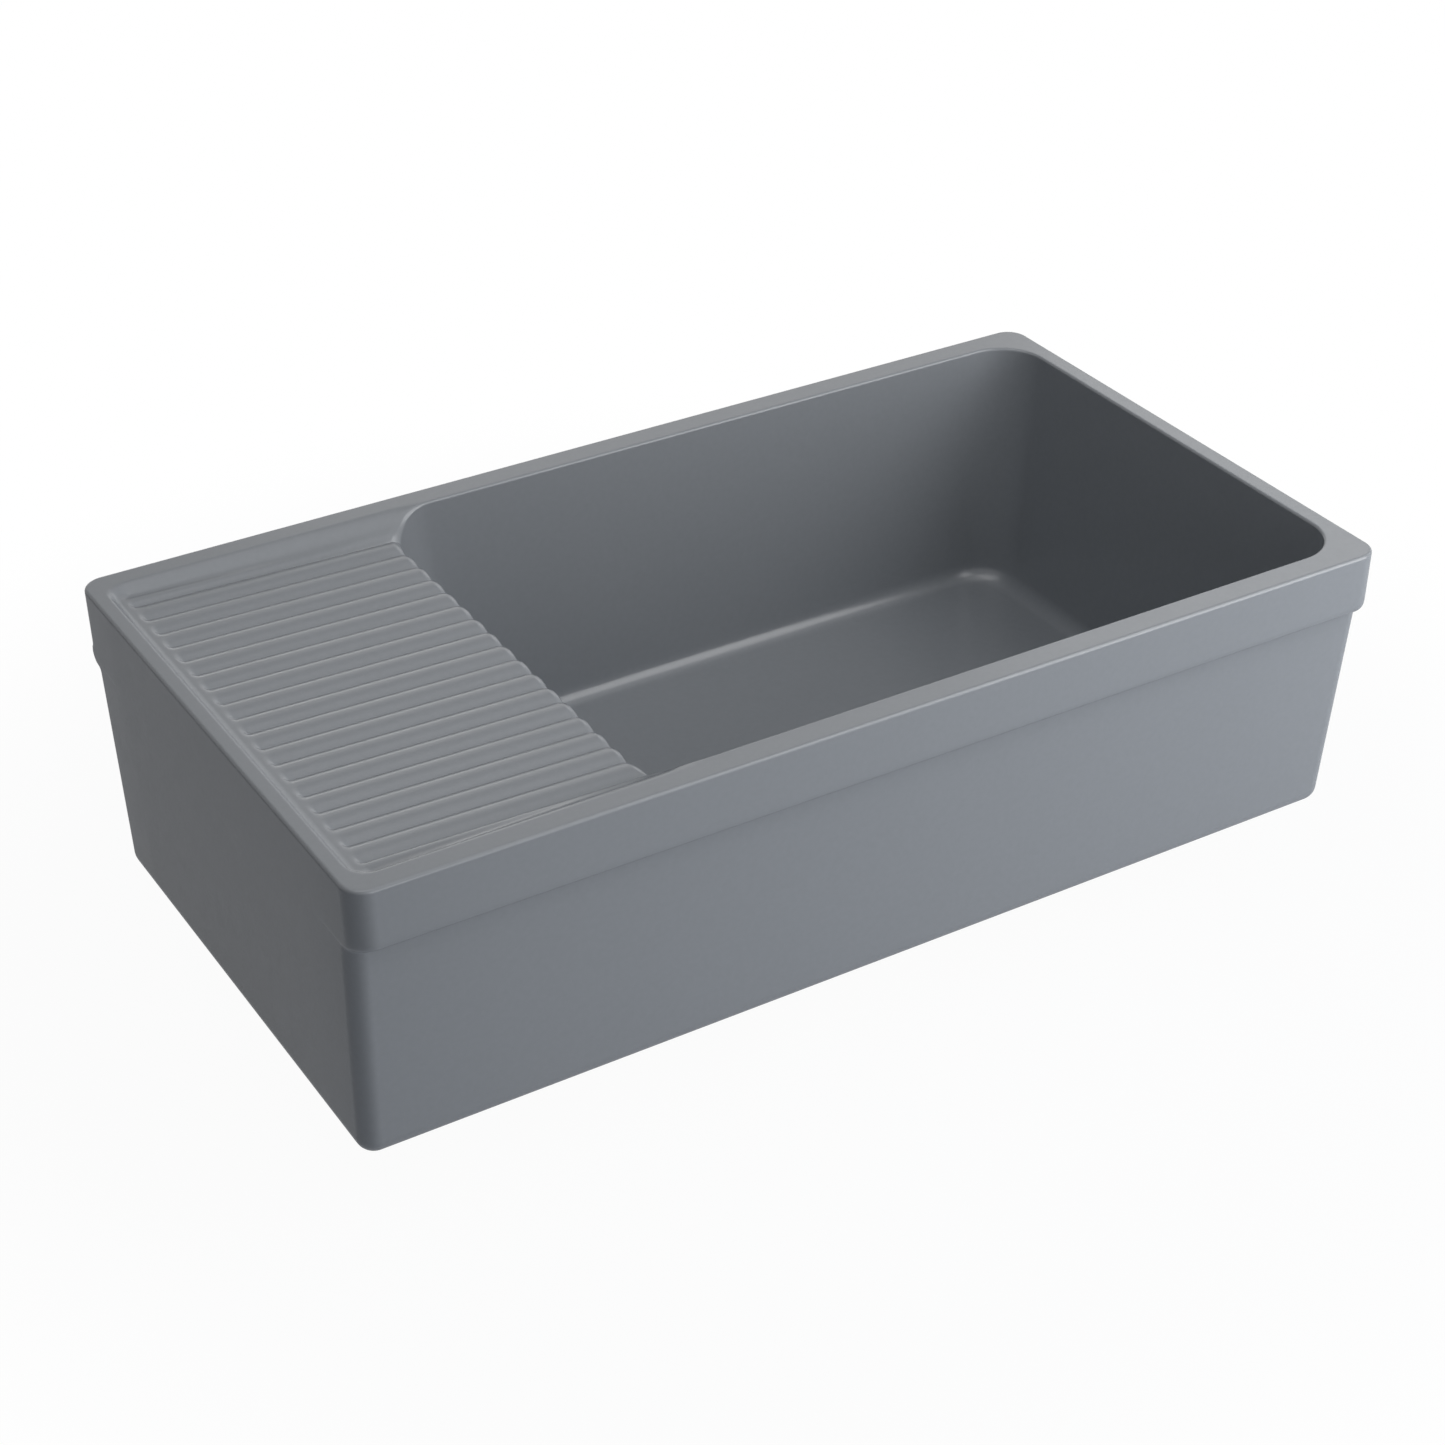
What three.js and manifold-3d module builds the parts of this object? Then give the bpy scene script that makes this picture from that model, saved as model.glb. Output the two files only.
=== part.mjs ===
// Farmhouse apron-front kitchen sink: one fireclay casting with a deep bowl on the right and a ribbed
// drainboard on the left, closed by a basket strainer in the bowl's drain hole.
// Millimetres. +X runs right along the front apron, +Y runs back, +Z is up.
// The origin is the centre of the casting's underside.

import * as THREE from 'three';
import { mergeGeometries, mergeVertices } from 'three/addons/utils/BufferGeometryUtils.js';
import Module from 'manifold-3d';

const wasm = await Module();
wasm.setup();

// ---------------------------------------------------------------- driving dimensions: the casting

const sinkLength = 914.4; // end to end
const sinkWidth = 500; // front band face to back band face
const sinkHeight = 254; // underside to rim

const endDraft = 6.3; // how far each end leans in at the foot
const bodyInsetAtRim = 8.3; // front and back body faces behind their bands, carried up to the rim
const bodyInsetAtFoot = 26.4; // the same faces at the underside
const frontBandHeight = 54;
const backBandHeight = 66;
const bandLipHeight = 9; // rounded underside of a band
const bandCornerRadius = 19; // plan radius of the casting's upright corners at a band
const bodyCornerRadius = 15; // and below the bands
const topEdgeRadius = 5.5;
const footEdgeRadius = 9;

const sideRim = 24.3; // top of the wall before and behind the bowl
const endRim = 17.2; // top of the wall at the bowl's end
const boardLength = 255.2; // outer left end to the bowl's left wall, at the rim
const bowlCornerRadius = 42;
const bowlEdgeRadius = 4;
const bowlDraftSides = 15.5; // lean of the bowl's front and back walls, rim to floor
const bowlDraftEnd = 28; // lean of the end wall beside the rim
const bowlDraftBoard = 20; // lean of the wall under the drainboard
const floorThickness = 29; // at the bowl's walls
const floorFall = 3; // from the walls to the drain
const bowlFloorRadius = 12;

const boardRimLeft = 12; // flat rim left of the drainboard
const boardRimSides = 18; // flat rim before and behind it
const boardCornerRadius = 20;
const boardStepLeft = 7; // slope from the rim down to the board's left end
const boardStepWidth = 13; // gentler slope down from its front and back rims
const boardStepSpread = 13; // how much wider that slope grows towards the bowl
const boardDrop = 6; // rim to the ribs' crests at the left
const boardFall = 5.2; // further drop of the crests along the board
const boardEdgeRadius = 8; // where the ribs roll over into the bowl
const grooveCount = 18;
const grooveDepth = 4; // at the left
const grooveDeepening = 0.8; // further depth gained towards the bowl
const grooveStart = 12.5; // left end of the grooves, from the edge of the rim
const grooveRunIn = 7; // length over which a groove reaches its full depth
const edgeRibWidth = 14.2; // outermost groove to the foot of the step beside it
const edgeRibFoot = 0.4; // depth of the line at that foot, as a share of a groove's

const hollowWall = 18; // clay left round the open hollow beneath the drainboard
const hollowCeiling = 20.2; // clay between the hollow and the board's grooves
const hollowCornerRadius = 16;

// ---------------------------------------------------------------- driving dimensions: the strainer

const runningGap = 0.3; // between pieces that touch
const cupRadius = 43; // outside of the threaded cup
const cupWall = 2;
const cupReach = 37; // cup below the casting's underside
const cupShoulder = 8; // slope between the cup's wall and its floor
const drainHoleClearance = 2.5; // round the cup
const flangeBearing = 11.5; // flange past the edge of the drain hole
const flangeThickness = 1.6;
const flangeSlope = 5; // depth over which the flange falls into the cup
const flangeSealHeight = 1.2;
const flangeSeatDepth = 3.4; // recess in the floor round the drain hole
const flangeSeatClearance = 1.5;
const flangeSeatFlare = 2.5; // how far the side of that recess leans out
const outletRadius = 23;
const outletWall = 3;
const outletBelowPost = 2.5; // outlet past the tip of the lowered post

const gasketSeatDepth = 3; // recess in the casting's underside round the drain hole
const gasketSeatClearance = 4; // round the lock nut's lugs
const underWasherRim = 14; // ring width of the gasket and the friction washer
const underGasketHeight = 3;
const frictionWasherHeight = 1;
const lockNutHeight = 13;
const lockNutRim = 12; // ring width outside the thread
const lockNutFlangeWidth = 2; // wider top that bears on the friction washer
const lockNutFlangeHeight = 3;
const lockNutLugs = 6;
const lockNutLugWidth = 8;
const lockNutLugReach = 5;

const tailpieceClearance = 1; // waste pipe inside the outlet's bore
const couplingWasherHeight = 1.6;
const couplingNutWall = 5.2;
const couplingNutHeight = 17;
const couplingNutFloor = 2.5;
const couplingNutBevel = 1.5;
const couplingNutRibs = 8;
const couplingNutRibWidth = 5;
const couplingNutRibReach = 2.5;

const stopperLap = 7; // rubber past the edge of the outlet's bore
const stopperHeight = 4.5;
const stopperEdge = 1.6; // thickness of the rubber's rim
const stopperRecess = 1; // underside lifted clear inside the sealing lip
const backingWasherRim = 8; // ring width round the post
const backingWasherHeight = 1;
const postNutRim = 3.5;
const postNutHeight = 3;

const basketClearance = 2.5; // between the basket's rim and the cup
const basketDepth = 31;
const basketWall = 0.9;
const basketTaper = 9.5; // radius lost from rim to floor
const basketRimWidth = 2.2;
const basketRimHeight = 1.6;
const basketFootWidth = 3; // slope between floor and wall
const basketFootHeight = 2;
const wallSlots = 20;
const wallSlotWidth = 2.8;
const wallSlotHeight = 16;
const floorHoles = 12;
const floorHoleRadius = 2.2;

const postRadius = 3;
const postGrooveDepth = 0.6;
const postGrooveFlat = 1;
const postGrooveWidth = 2.4;
const postTipLength = 5; // lower groove to the tip
const postTipBevel = 1.2;
const strainLift = 9; // how far the post rises from sealed to straining
const collarRim = 4;
const collarHeight = 2.4;
const knobRadius = 10;
const knobHeight = 13;
const knobStandOff = 9; // basket rim to the knob's underside
const knobSocket = 6; // depth of the knob's bore on the post

const crossHubWall = 3.2;
const crossClearance = 1; // between the lowered post's nut and the clip below it
const crossHeight = 5;
const crossSpokes = 4;
const crossSpokeWidth = 3.2;
const crossRimWidth = 2.4;
const clipWall = 0.7;
const clipHeight = 9;
const clipCollarHeight = 1;
const clipCollarReach = 1.4;
const clipSlit = 1.2;
const clipSlitAngle = Math.PI / 5;

const fineSteps = 40; // facets round a wide turned piece
const coarseSteps = 24; // and round a slim one
const slimRadius = 16;
const arcSteps = 3; // facets of a quarter round
const cutAllowance = 2; // how far a cutting shape runs past what it cuts

// ---------------------------------------------------------------- the casting's outlines

const halfLength = sinkLength / 2;
const halfWidth = sinkWidth / 2;
const bowlLeft = -halfLength + boardLength;
const bowlRight = halfLength - endRim;
const bowlSide = halfWidth - sideRim;
const drainX = (bowlLeft + bowlDraftBoard + bowlRight - bowlDraftEnd) / 2;
const boardLeft = -halfLength + boardRimLeft;
const boardSide = halfWidth - boardRimSides;
const outerGroove = boardSide - boardStepWidth - edgeRibWidth;
const ribPitch = (2 * outerGroove) / (grooveCount - 1);

// ---------------------------------------------------------------- the strainer's radii

const drainHoleRadius = cupRadius + drainHoleClearance;
const flangeRadius = drainHoleRadius + flangeBearing;
const lockNutRadius = cupRadius + lockNutRim;
const gasketSeatRadius = lockNutRadius + lockNutLugReach + gasketSeatClearance;
const cupBore = cupRadius - cupWall;
const outletBore = outletRadius - outletWall;
const tailpieceRadius = outletBore - tailpieceClearance;
const onPost = postRadius + runningGap;
const stopperRadius = outletBore + stopperLap;
const backingWasherRadius = postRadius + backingWasherRim;
const basketRadius = cupBore - basketClearance;
const basketFloorRadius = basketRadius - basketTaper;
const floorHoleCircle = (backingWasherRadius + basketFloorRadius) / 2;
const clipOuter = onPost + clipWall;
const clipCollarRadius = clipOuter + clipCollarReach;
const crossHubRadius = clipOuter + runningGap + crossHubWall;

// ---------------------------------------------------------------- the strainer's levels, sealed

const floorAtDrain = floorThickness - floorFall;
const flangeSeat = floorAtDrain - flangeSeatDepth;
const flangeUnder = flangeSeat + flangeSealHeight + 2 * runningGap;
const flangeTop = flangeUnder + flangeThickness;
const cupBottom = -cupReach;
const cupFloor = cupBottom + cupWall;

const gasketTop = gasketSeatDepth - runningGap;
const frictionWasherTop = gasketTop - underGasketHeight - runningGap;
const lockNutTop = frictionWasherTop - frictionWasherHeight - runningGap;
const lockNutBottom = lockNutTop - lockNutHeight;

const stopperBottom = cupFloor + runningGap;
const stopperTop = stopperBottom + stopperHeight;
const backingWasherBottom = stopperTop + runningGap;
const basketFloor = backingWasherBottom + backingWasherHeight + runningGap;
const basketRim = basketFloor + basketDepth;
const collarBottom = basketFloor + basketWall + runningGap;
const knobBottom = basketRim + knobStandOff;
const postTop = knobBottom + knobSocket;

const postNutTop = stopperBottom + stopperRecess - runningGap;
const postNutBottom = postNutTop - postNutHeight;
const clipTop = postNutBottom - crossClearance;
const clipBottom = clipTop - clipHeight;
const crossTop = clipTop - clipCollarHeight - runningGap;
const crossBottom = crossTop - crossHeight;
const upperGroove = (clipTop + clipBottom) / 2;
const lowerGroove = upperGroove - strainLift;
const postTip = lowerGroove - postTipLength;

const outletBottom = postTip - outletBelowPost;
const couplingWasherTop = outletBottom - runningGap;
const couplingNutBottom = couplingWasherTop - couplingWasherHeight - runningGap - couplingNutFloor;
const couplingNutTop = couplingNutBottom + couplingNutHeight;

// ---------------------------------------------------------------- materials

function material(hex, roughness, metalness) {
  return new THREE.MeshStandardMaterial({ color: hex, roughness, metalness });
}

const fireclay = material(0x7b8085, 0.42, 0);
const stainless = material(0xc3c5c7, 0.32, 1);
const blackRubber = material(0x202224, 0.8, 0);
const putty = material(0xa9a69c, 0.9, 0);
const fibre = material(0x9a7447, 0.95, 0);
const brass = material(0xb08d45, 0.45, 1);
const nylon = material(0xd9dad4, 0.55, 0);

// ---------------------------------------------------------------- solids

function toManifold(geometry) {
  const bare = geometry.clone();
  bare.deleteAttribute('normal');
  bare.deleteAttribute('uv');
  const merged = mergeVertices(bare, 1e-5);
  return new wasm.Manifold(new wasm.Mesh({
    numProp: 3,
    vertProperties: new Float32Array(merged.attributes.position.array),
    triVerts: new Uint32Array(merged.index.array),
  }));
}

function toGeometry(solid) {
  const mesh = solid.getMesh();
  const geometry = new THREE.BufferGeometry();
  geometry.setAttribute('position', new THREE.BufferAttribute(mesh.vertProperties, 3));
  geometry.setIndex(new THREE.BufferAttribute(mesh.triVerts, 1));
  geometry.computeVertexNormals();
  return geometry;
}

function joined(first, others) {
  return others.reduce((solid, geometry) => solid.add(toManifold(geometry)), toManifold(first));
}

// A solid of revolution about Z from its outline as radius and height.
function turned(points) {
  const profile = points.map(([radius, z]) => new THREE.Vector2(radius, z));
  const widest = Math.max(...points.map(([radius]) => radius));
  const steps = widest > slimRadius ? fineSteps : coarseSteps;
  return new THREE.LatheGeometry(profile, steps).rotateX(Math.PI / 2);
}

function ring({ inner, outer, bottom, top }) {
  return turned([[inner, bottom], [outer, bottom], [outer, top], [inner, top], [inner, bottom]]);
}

function disc({ radius, bottom, top }) {
  return turned([[0, bottom], [radius, bottom], [radius, top], [0, top]]);
}

// A bar lying out from the axis at an angle round it.
function radialBar({ inner, outer, width, bottom, top, angle }) {
  const bar = new THREE.BoxGeometry(outer - inner, width, top - bottom);
  return bar.translate((inner + outer) / 2, 0, (bottom + top) / 2).rotateZ(angle);
}

// Copies of a shape at equal angles round the axis.
function around(count, make) {
  return Array.from({ length: count }, (_, i) => make((i / count) * 2 * Math.PI));
}

// A rounded rectangle's corners as points, anticlockwise seen from above.
function roundedRectangle({ left, right, front, back, radius, z }) {
  const corners = [
    [right - radius, back - radius, 0],
    [left + radius, back - radius, 1],
    [left + radius, front + radius, 2],
    [right - radius, front + radius, 3],
  ];
  const steps = 2 * arcSteps;
  return corners.flatMap(([x, y, quarter]) => Array.from({ length: steps + 1 }, (_, step) => {
    const angle = (quarter + step / steps) * Math.PI / 2;
    return new THREE.Vector3(x + radius * Math.cos(angle), y + radius * Math.sin(angle), z);
  }));
}

// Skins a stack of equal loops, lowest first, and closes it with a fan at each end.
function loft(loops, lowCentre, highCentre) {
  const count = loops[0].length;
  const points = loops.flat();
  const lowIndex = points.push(lowCentre) - 1;
  const highIndex = points.push(highCentre) - 1;
  const topStart = (loops.length - 1) * count;
  const index = [];
  for (let side = 0; side < count; side += 1) {
    const next = (side + 1) % count;
    index.push(lowIndex, next, side);
    index.push(highIndex, topStart + side, topStart + next);
    for (let level = 0; level < topStart; level += count) {
      index.push(level + side, level + next, level + count + next);
      index.push(level + side, level + count + next, level + count + side);
    }
  }
  return new THREE.BufferGeometry().setFromPoints(points).setIndex(index);
}

function centreOf(loop) {
  const sum = loop.reduce((total, point) => total.clone().add(point), new THREE.Vector3());
  return sum.divideScalar(loop.length);
}

// Heights of a quarter round's facets between 0 and 1, and how far it has come in at each.
const quarterRound = Array.from({ length: arcSteps + 1 }, (_, step) => {
  const angle = (step / arcSteps) * Math.PI / 2;
  return { rise: Math.sin(angle), inset: 1 - Math.cos(angle) };
});

// ---------------------------------------------------------------- the casting

// How far a body face has come out to its band's face at a height: 0 below the lip, 1 at the band.
function bandShare(z, bandHeight) {
  const share = THREE.MathUtils.clamp((z - (sinkHeight - bandHeight)) / bandLipHeight, 0, 1);
  return Math.sqrt(1 - (1 - share) ** 2);
}

// Inset of the rounded top and foot edges.
function edgeInset(z) {
  const above = Math.max(z - (sinkHeight - topEdgeRadius), 0) / topEdgeRadius;
  const below = Math.max(footEdgeRadius - z, 0) / footEdgeRadius;
  const top = topEdgeRadius * (1 - Math.sqrt(1 - above ** 2));
  const foot = footEdgeRadius * (1 - Math.sqrt(1 - below ** 2));
  return top + foot;
}

// How far the front and back body faces stand behind their bands' faces.
function bodyInset(z) {
  return THREE.MathUtils.lerp(bodyInsetAtFoot, bodyInsetAtRim, z / sinkHeight);
}

// How far each end face stands inside the casting's full length.
function endInset(z) {
  return endDraft * (1 - z / sinkHeight);
}

function castingLoop(z) {
  const frontShare = bandShare(z, frontBandHeight);
  const backShare = bandShare(z, backBandHeight);
  return roundedRectangle({
    left: -halfLength + endInset(z) + edgeInset(z),
    right: halfLength - endInset(z) - edgeInset(z),
    front: -halfWidth + bodyInset(z) * (1 - frontShare) + edgeInset(z),
    back: halfWidth - bodyInset(z) * (1 - backShare) - edgeInset(z),
    radius: THREE.MathUtils.lerp(bodyCornerRadius, bandCornerRadius, frontShare) - edgeInset(z),
    z,
  });
}

function castingBody() {
  const lipHeights = [frontBandHeight, backBandHeight].flatMap((bandHeight) => {
    const lip = sinkHeight - bandHeight;
    return quarterRound.map(({ inset }) => lip + bandLipHeight * inset);
  });
  const footHeights = quarterRound.map(({ inset }) => footEdgeRadius * inset);
  const topHeights = quarterRound.map(({ inset }) => sinkHeight - topEdgeRadius * inset);
  const heights = [...footHeights, ...lipHeights, ...topHeights].sort((a, b) => a - b);
  const leastStep = 0.01;
  const levels = heights.filter((z, i) => i === 0 || z - heights[i - 1] > leastStep);
  const loops = levels.map(castingLoop);
  return loft(loops, centreOf(loops[0]), centreOf(loops[loops.length - 1]));
}

// The bowl's outline at a height, grown outwards by a margin.
function bowlLoop(z, margin) {
  const lean = (sinkHeight - z) / (sinkHeight - floorThickness);
  return roundedRectangle({
    left: bowlLeft + bowlDraftBoard * lean - margin,
    right: bowlRight - bowlDraftEnd * lean + margin,
    front: -bowlSide + bowlDraftSides * lean - margin,
    back: bowlSide - bowlDraftSides * lean + margin,
    radius: bowlCornerRadius + margin,
    z,
  });
}

function bowlCut() {
  const floorLoops = quarterRound.map(({ rise, inset }) => {
    return bowlLoop(floorThickness + bowlFloorRadius * inset, bowlFloorRadius * (rise - 1));
  });
  const edgeLoops = quarterRound.map(({ rise, inset }) => {
    return bowlLoop(sinkHeight - bowlEdgeRadius * (1 - rise), bowlEdgeRadius * inset);
  });
  const above = bowlLoop(sinkHeight + cutAllowance, bowlEdgeRadius);
  const loops = [...floorLoops, ...edgeLoops, above];
  return loft(loops, new THREE.Vector3(drainX, 0, floorAtDrain), centreOf(above));
}

// Distance inside the drainboard's outline, which stays open towards the bowl.
function insideBoard(x, y) {
  const fromLeft = x - boardLeft;
  const fromSide = boardSide - Math.abs(y);
  const cornerX = Math.max(boardCornerRadius - fromLeft, 0);
  const cornerY = Math.max(boardCornerRadius - fromSide, 0);
  if (cornerX > 0 && cornerY > 0) {
    return boardCornerRadius - Math.hypot(cornerX, cornerY);
  }
  return Math.min(fromLeft, fromSide);
}

// Width of the slope round the board: narrow at the left, wider along the sides, mixed round the corners.
function boardStep(x, y) {
  const along = THREE.MathUtils.clamp((x - boardLeft) / (bowlLeft - boardLeft), 0, 1);
  const sideStep = boardStepWidth + boardStepSpread * along;
  const cornerX = Math.max(boardCornerRadius - (x - boardLeft), 0);
  const cornerY = Math.max(boardCornerRadius - (boardSide - Math.abs(y)), 0);
  const round = Math.atan2(cornerY, cornerX) / (Math.PI / 2);
  return THREE.MathUtils.lerp(boardStepLeft, sideStep, cornerX > 0 ? round : 1);
}

// Distance outside the bowl's outline at the rim.
function outsideBowl(x, y) {
  const pastX = Math.max(bowlLeft + bowlCornerRadius - x, 0);
  const pastY = Math.max(Math.abs(y) - (bowlSide - bowlCornerRadius), 0);
  return Math.hypot(pastX, pastY) - bowlCornerRadius;
}

// Depth across the board as a share of a groove's: 1 in a groove, 0 on a rounded rib's crest.
// The last rib on each side is narrower and ends in a shallower line.
function grooveShare(y) {
  const inward = outerGroove - Math.abs(y);
  if (inward >= 0) {
    return (2 * ((inward / ribPitch) % 1) - 1) ** 2;
  }
  const across = Math.min(-inward / edgeRibWidth, 1);
  const deepest = across < 0.5 ? 1 : edgeRibFoot;
  return deepest * (2 * across - 1) ** 2;
}

// The drainboard's surface: a step down from the rim, a falling plane of ribs, and a rolled edge.
// Round the bowl's corners the step runs out and the roll tightens to the rim's own edge.
// Outside the board it rises above the rim, so that it cuts nothing there.
function boardHeight(x, y) {
  const inside = insideBoard(x, y);
  const riseOutside = 0.3;
  if (inside <= 0) {
    return sinkHeight - riseOutside * inside;
  }
  const corner = THREE.MathUtils.smoothstep(x, bowlLeft, bowlLeft + bowlCornerRadius);
  const step = THREE.MathUtils.smoothstep(inside, 0, boardStep(x, y)) * (1 - corner);
  const along = THREE.MathUtils.clamp((x - boardLeft) / (bowlLeft - boardLeft), 0, 1);
  const runIn = THREE.MathUtils.smoothstep(x - boardLeft - grooveStart, 0, grooveRunIn);
  const rollRadius = THREE.MathUtils.lerp(boardEdgeRadius, bowlEdgeRadius, corner);
  const past = THREE.MathUtils.clamp(rollRadius - outsideBowl(x, y), 0, rollRadius);
  const roll = rollRadius - Math.sqrt(rollRadius ** 2 - past ** 2);
  const depth = grooveDepth + grooveDeepening * along;
  const drop = boardDrop + boardFall * along + depth * grooveShare(y) * runIn;
  return sinkHeight - drop * step - roll;
}

// Removes everything above the drainboard: a grid of its surface below a flat top.
function boardCut() {
  const ribSteps = 4;
  const ribLineCount = (grooveCount - 1) * ribSteps + 1;
  const ribLines = Array.from({ length: ribLineCount }, (_, i) => i * (ribPitch / ribSteps) - outerGroove);
  const edgeRibLines = [0.25, 0.5, 0.75].map((share) => outerGroove + share * edgeRibWidth);
  const stepShares = [0, 0.3, 0.65, 1];
  const sideInsets = [-cutAllowance, ...stepShares.map((share) => share * boardStepWidth)];
  const leftInsets = [-cutAllowance, ...stepShares.map((share) => share * boardStepLeft)];
  const sideLines = [...edgeRibLines, ...sideInsets.map((inset) => boardSide - inset)];
  const yLines = [...sideLines.map((y) => -y), ...ribLines, ...sideLines].sort((a, b) => a - b);
  const runInInsets = [0, 0.5, 1].map((share) => grooveStart + share * grooveRunIn);
  const leftLines = [...leftInsets, ...runInInsets].map((inset) => boardLeft + inset);
  const rollLines = [1.25, 1, 0.56, 0.25, 0.05].map((share) => bowlLeft - share * boardEdgeRadius);
  const cornerLines = [0.08, 0.18, 0.3, 0.45, 0.65, 1].map((share) => bowlLeft + share * bowlCornerRadius);
  const middle = (leftLines[leftLines.length - 1] + rollLines[0]) / 2;
  const xLines = [...leftLines, middle, ...rollLines, ...cornerLines];
  return heightBlock(xLines, yLines, boardHeight, sinkHeight + 2 * cutAllowance);
}

// A closed block between a height field on crossing lines and a level lid.
function heightBlock(xLines, yLines, height, lid) {
  const surface = xLines.flatMap((x) => yLines.map((y) => new THREE.Vector3(x, y, height(x, y))));
  const cover = surface.map((point) => new THREE.Vector3(point.x, point.y, lid));
  const rows = yLines.length;
  const size = surface.length;
  const index = [];
  function wall(a, b) {
    index.push(a, b, b + size, a, b + size, a + size);
  }
  for (let i = 0; i < xLines.length - 1; i += 1) {
    for (let j = 0; j < rows - 1; j += 1) {
      const a = i * rows + j;
      const b = a + rows;
      index.push(a, a + 1, b + 1, a, b + 1, b);
      index.push(a + size, b + size, b + 1 + size, a + size, b + 1 + size, a + 1 + size);
    }
    wall(i * rows, (i + 1) * rows);
    wall((i + 2) * rows - 1, (i + 1) * rows - 1);
  }
  for (let j = 0; j < rows - 1; j += 1) {
    wall(j + 1, j);
    wall((xLines.length - 1) * rows + j, (xLines.length - 1) * rows + j + 1);
  }
  return new THREE.BufferGeometry().setFromPoints([...surface, ...cover]).setIndex(index);
}

// The hollow's outline at a height, one wall's thickness inside the casting's faces.
function hollowLoop(z, margin) {
  const bowlLean = bowlDraftBoard * (1 - z / sinkHeight);
  const side = halfWidth - bodyInset(z) - hollowWall + margin;
  return roundedRectangle({
    left: -halfLength + endInset(z) + hollowWall - margin,
    right: bowlLeft + bowlLean - hollowWall + margin,
    front: -side,
    back: side,
    radius: hollowCornerRadius + margin,
    z,
  });
}

// The hollow under the drainboard, open below.
function hollowCut() {
  const deepest = boardDrop + boardFall + grooveDepth + grooveDeepening;
  const ceiling = sinkHeight - deepest - hollowCeiling;
  const ceilingInset = 0.6 * hollowCornerRadius;
  const mouthLoops = [hollowLoop(-cutAllowance, 0), hollowLoop(footEdgeRadius, 0)];
  const ceilingLoops = quarterRound.map(({ rise, inset }) => {
    return hollowLoop(ceiling - hollowCornerRadius * (1 - rise), -ceilingInset * inset);
  });
  const loops = [...mouthLoops, ...ceilingLoops];
  return loft(loops, centreOf(loops[0]), centreOf(loops[loops.length - 1]));
}

// The drain hole with the recess above it for the strainer's flange and the one below it for the gasket.
function drainCut() {
  const recess = flangeRadius + flangeSeatClearance;
  const above = floorThickness + 2 * cutAllowance;
  return turned([
    [0, -cutAllowance],
    [gasketSeatRadius, -cutAllowance],
    [gasketSeatRadius, gasketSeatDepth],
    [drainHoleRadius, gasketSeatDepth],
    [drainHoleRadius, flangeSeat],
    [recess, flangeSeat],
    [recess + flangeSeatFlare, above],
    [0, above],
  ]).translate(drainX, 0, 0);
}

function sinkBasin() {
  const cuts = [bowlCut(), boardCut(), hollowCut(), drainCut()];
  const casting = cuts.reduce((solid, cut) => solid.subtract(toManifold(cut)), toManifold(castingBody()));
  return toGeometry(casting);
}

// ---------------------------------------------------------------- the fixed strainer

function flangeSeal() {
  const margin = 1;
  return ring({
    inner: drainHoleRadius + margin,
    outer: flangeRadius - margin,
    bottom: flangeSeat + runningGap,
    top: flangeUnder - runningGap,
  });
}

// Flange, threaded cup, sloping shoulder and outlet neck in one pressing.
function strainerBody() {
  const bend = 1.5;
  const neckFlare = 3;
  const innerShoulder = cupShoulder + 0.8;
  return turned([
    [outletBore, outletBottom],
    [outletRadius, outletBottom],
    [outletRadius, cupBottom - neckFlare],
    [outletRadius + neckFlare, cupBottom],
    [cupRadius - cupShoulder, cupBottom],
    [cupRadius, cupBottom + cupShoulder],
    [cupRadius, flangeUnder - bend],
    [cupRadius + bend, flangeUnder],
    [flangeRadius, flangeUnder],
    [flangeRadius, flangeTop - flangeThickness / 2],
    [flangeRadius - bend, flangeTop],
    [cupBore + flangeSlope, flangeTop],
    [cupBore, flangeTop - flangeSlope],
    [cupBore, cupFloor + cupShoulder],
    [cupRadius - innerShoulder, cupFloor],
    [outletBore + bend, cupFloor],
    [outletBore, cupFloor - bend],
    [outletBore, outletBottom],
  ]);
}

function underWasher(height, top) {
  const inner = cupRadius + runningGap;
  return ring({ inner, outer: cupRadius + underWasherRim, bottom: top - height, top });
}

function lockNut() {
  const inner = cupRadius + runningGap;
  const draft = 1;
  const nut = turned([
    [inner, lockNutBottom],
    [lockNutRadius - draft, lockNutBottom],
    [lockNutRadius, lockNutTop - lockNutFlangeHeight - draft],
    [lockNutRadius + lockNutFlangeWidth, lockNutTop - lockNutFlangeHeight],
    [lockNutRadius + lockNutFlangeWidth, lockNutTop],
    [inner, lockNutTop],
    [inner, lockNutBottom],
  ]);
  const lugs = around(lockNutLugs, (angle) => radialBar({
    inner: lockNutRadius - lockNutLugReach,
    outer: lockNutRadius + lockNutLugReach,
    width: lockNutLugWidth,
    bottom: lockNutBottom,
    top: lockNutTop - draft,
    angle,
  }));
  return toGeometry(joined(nut, lugs));
}

function couplingWasher() {
  return ring({
    inner: tailpieceRadius + tailpieceClearance / 2,
    outer: outletRadius,
    bottom: couplingWasherTop - couplingWasherHeight,
    top: couplingWasherTop,
  });
}

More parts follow.
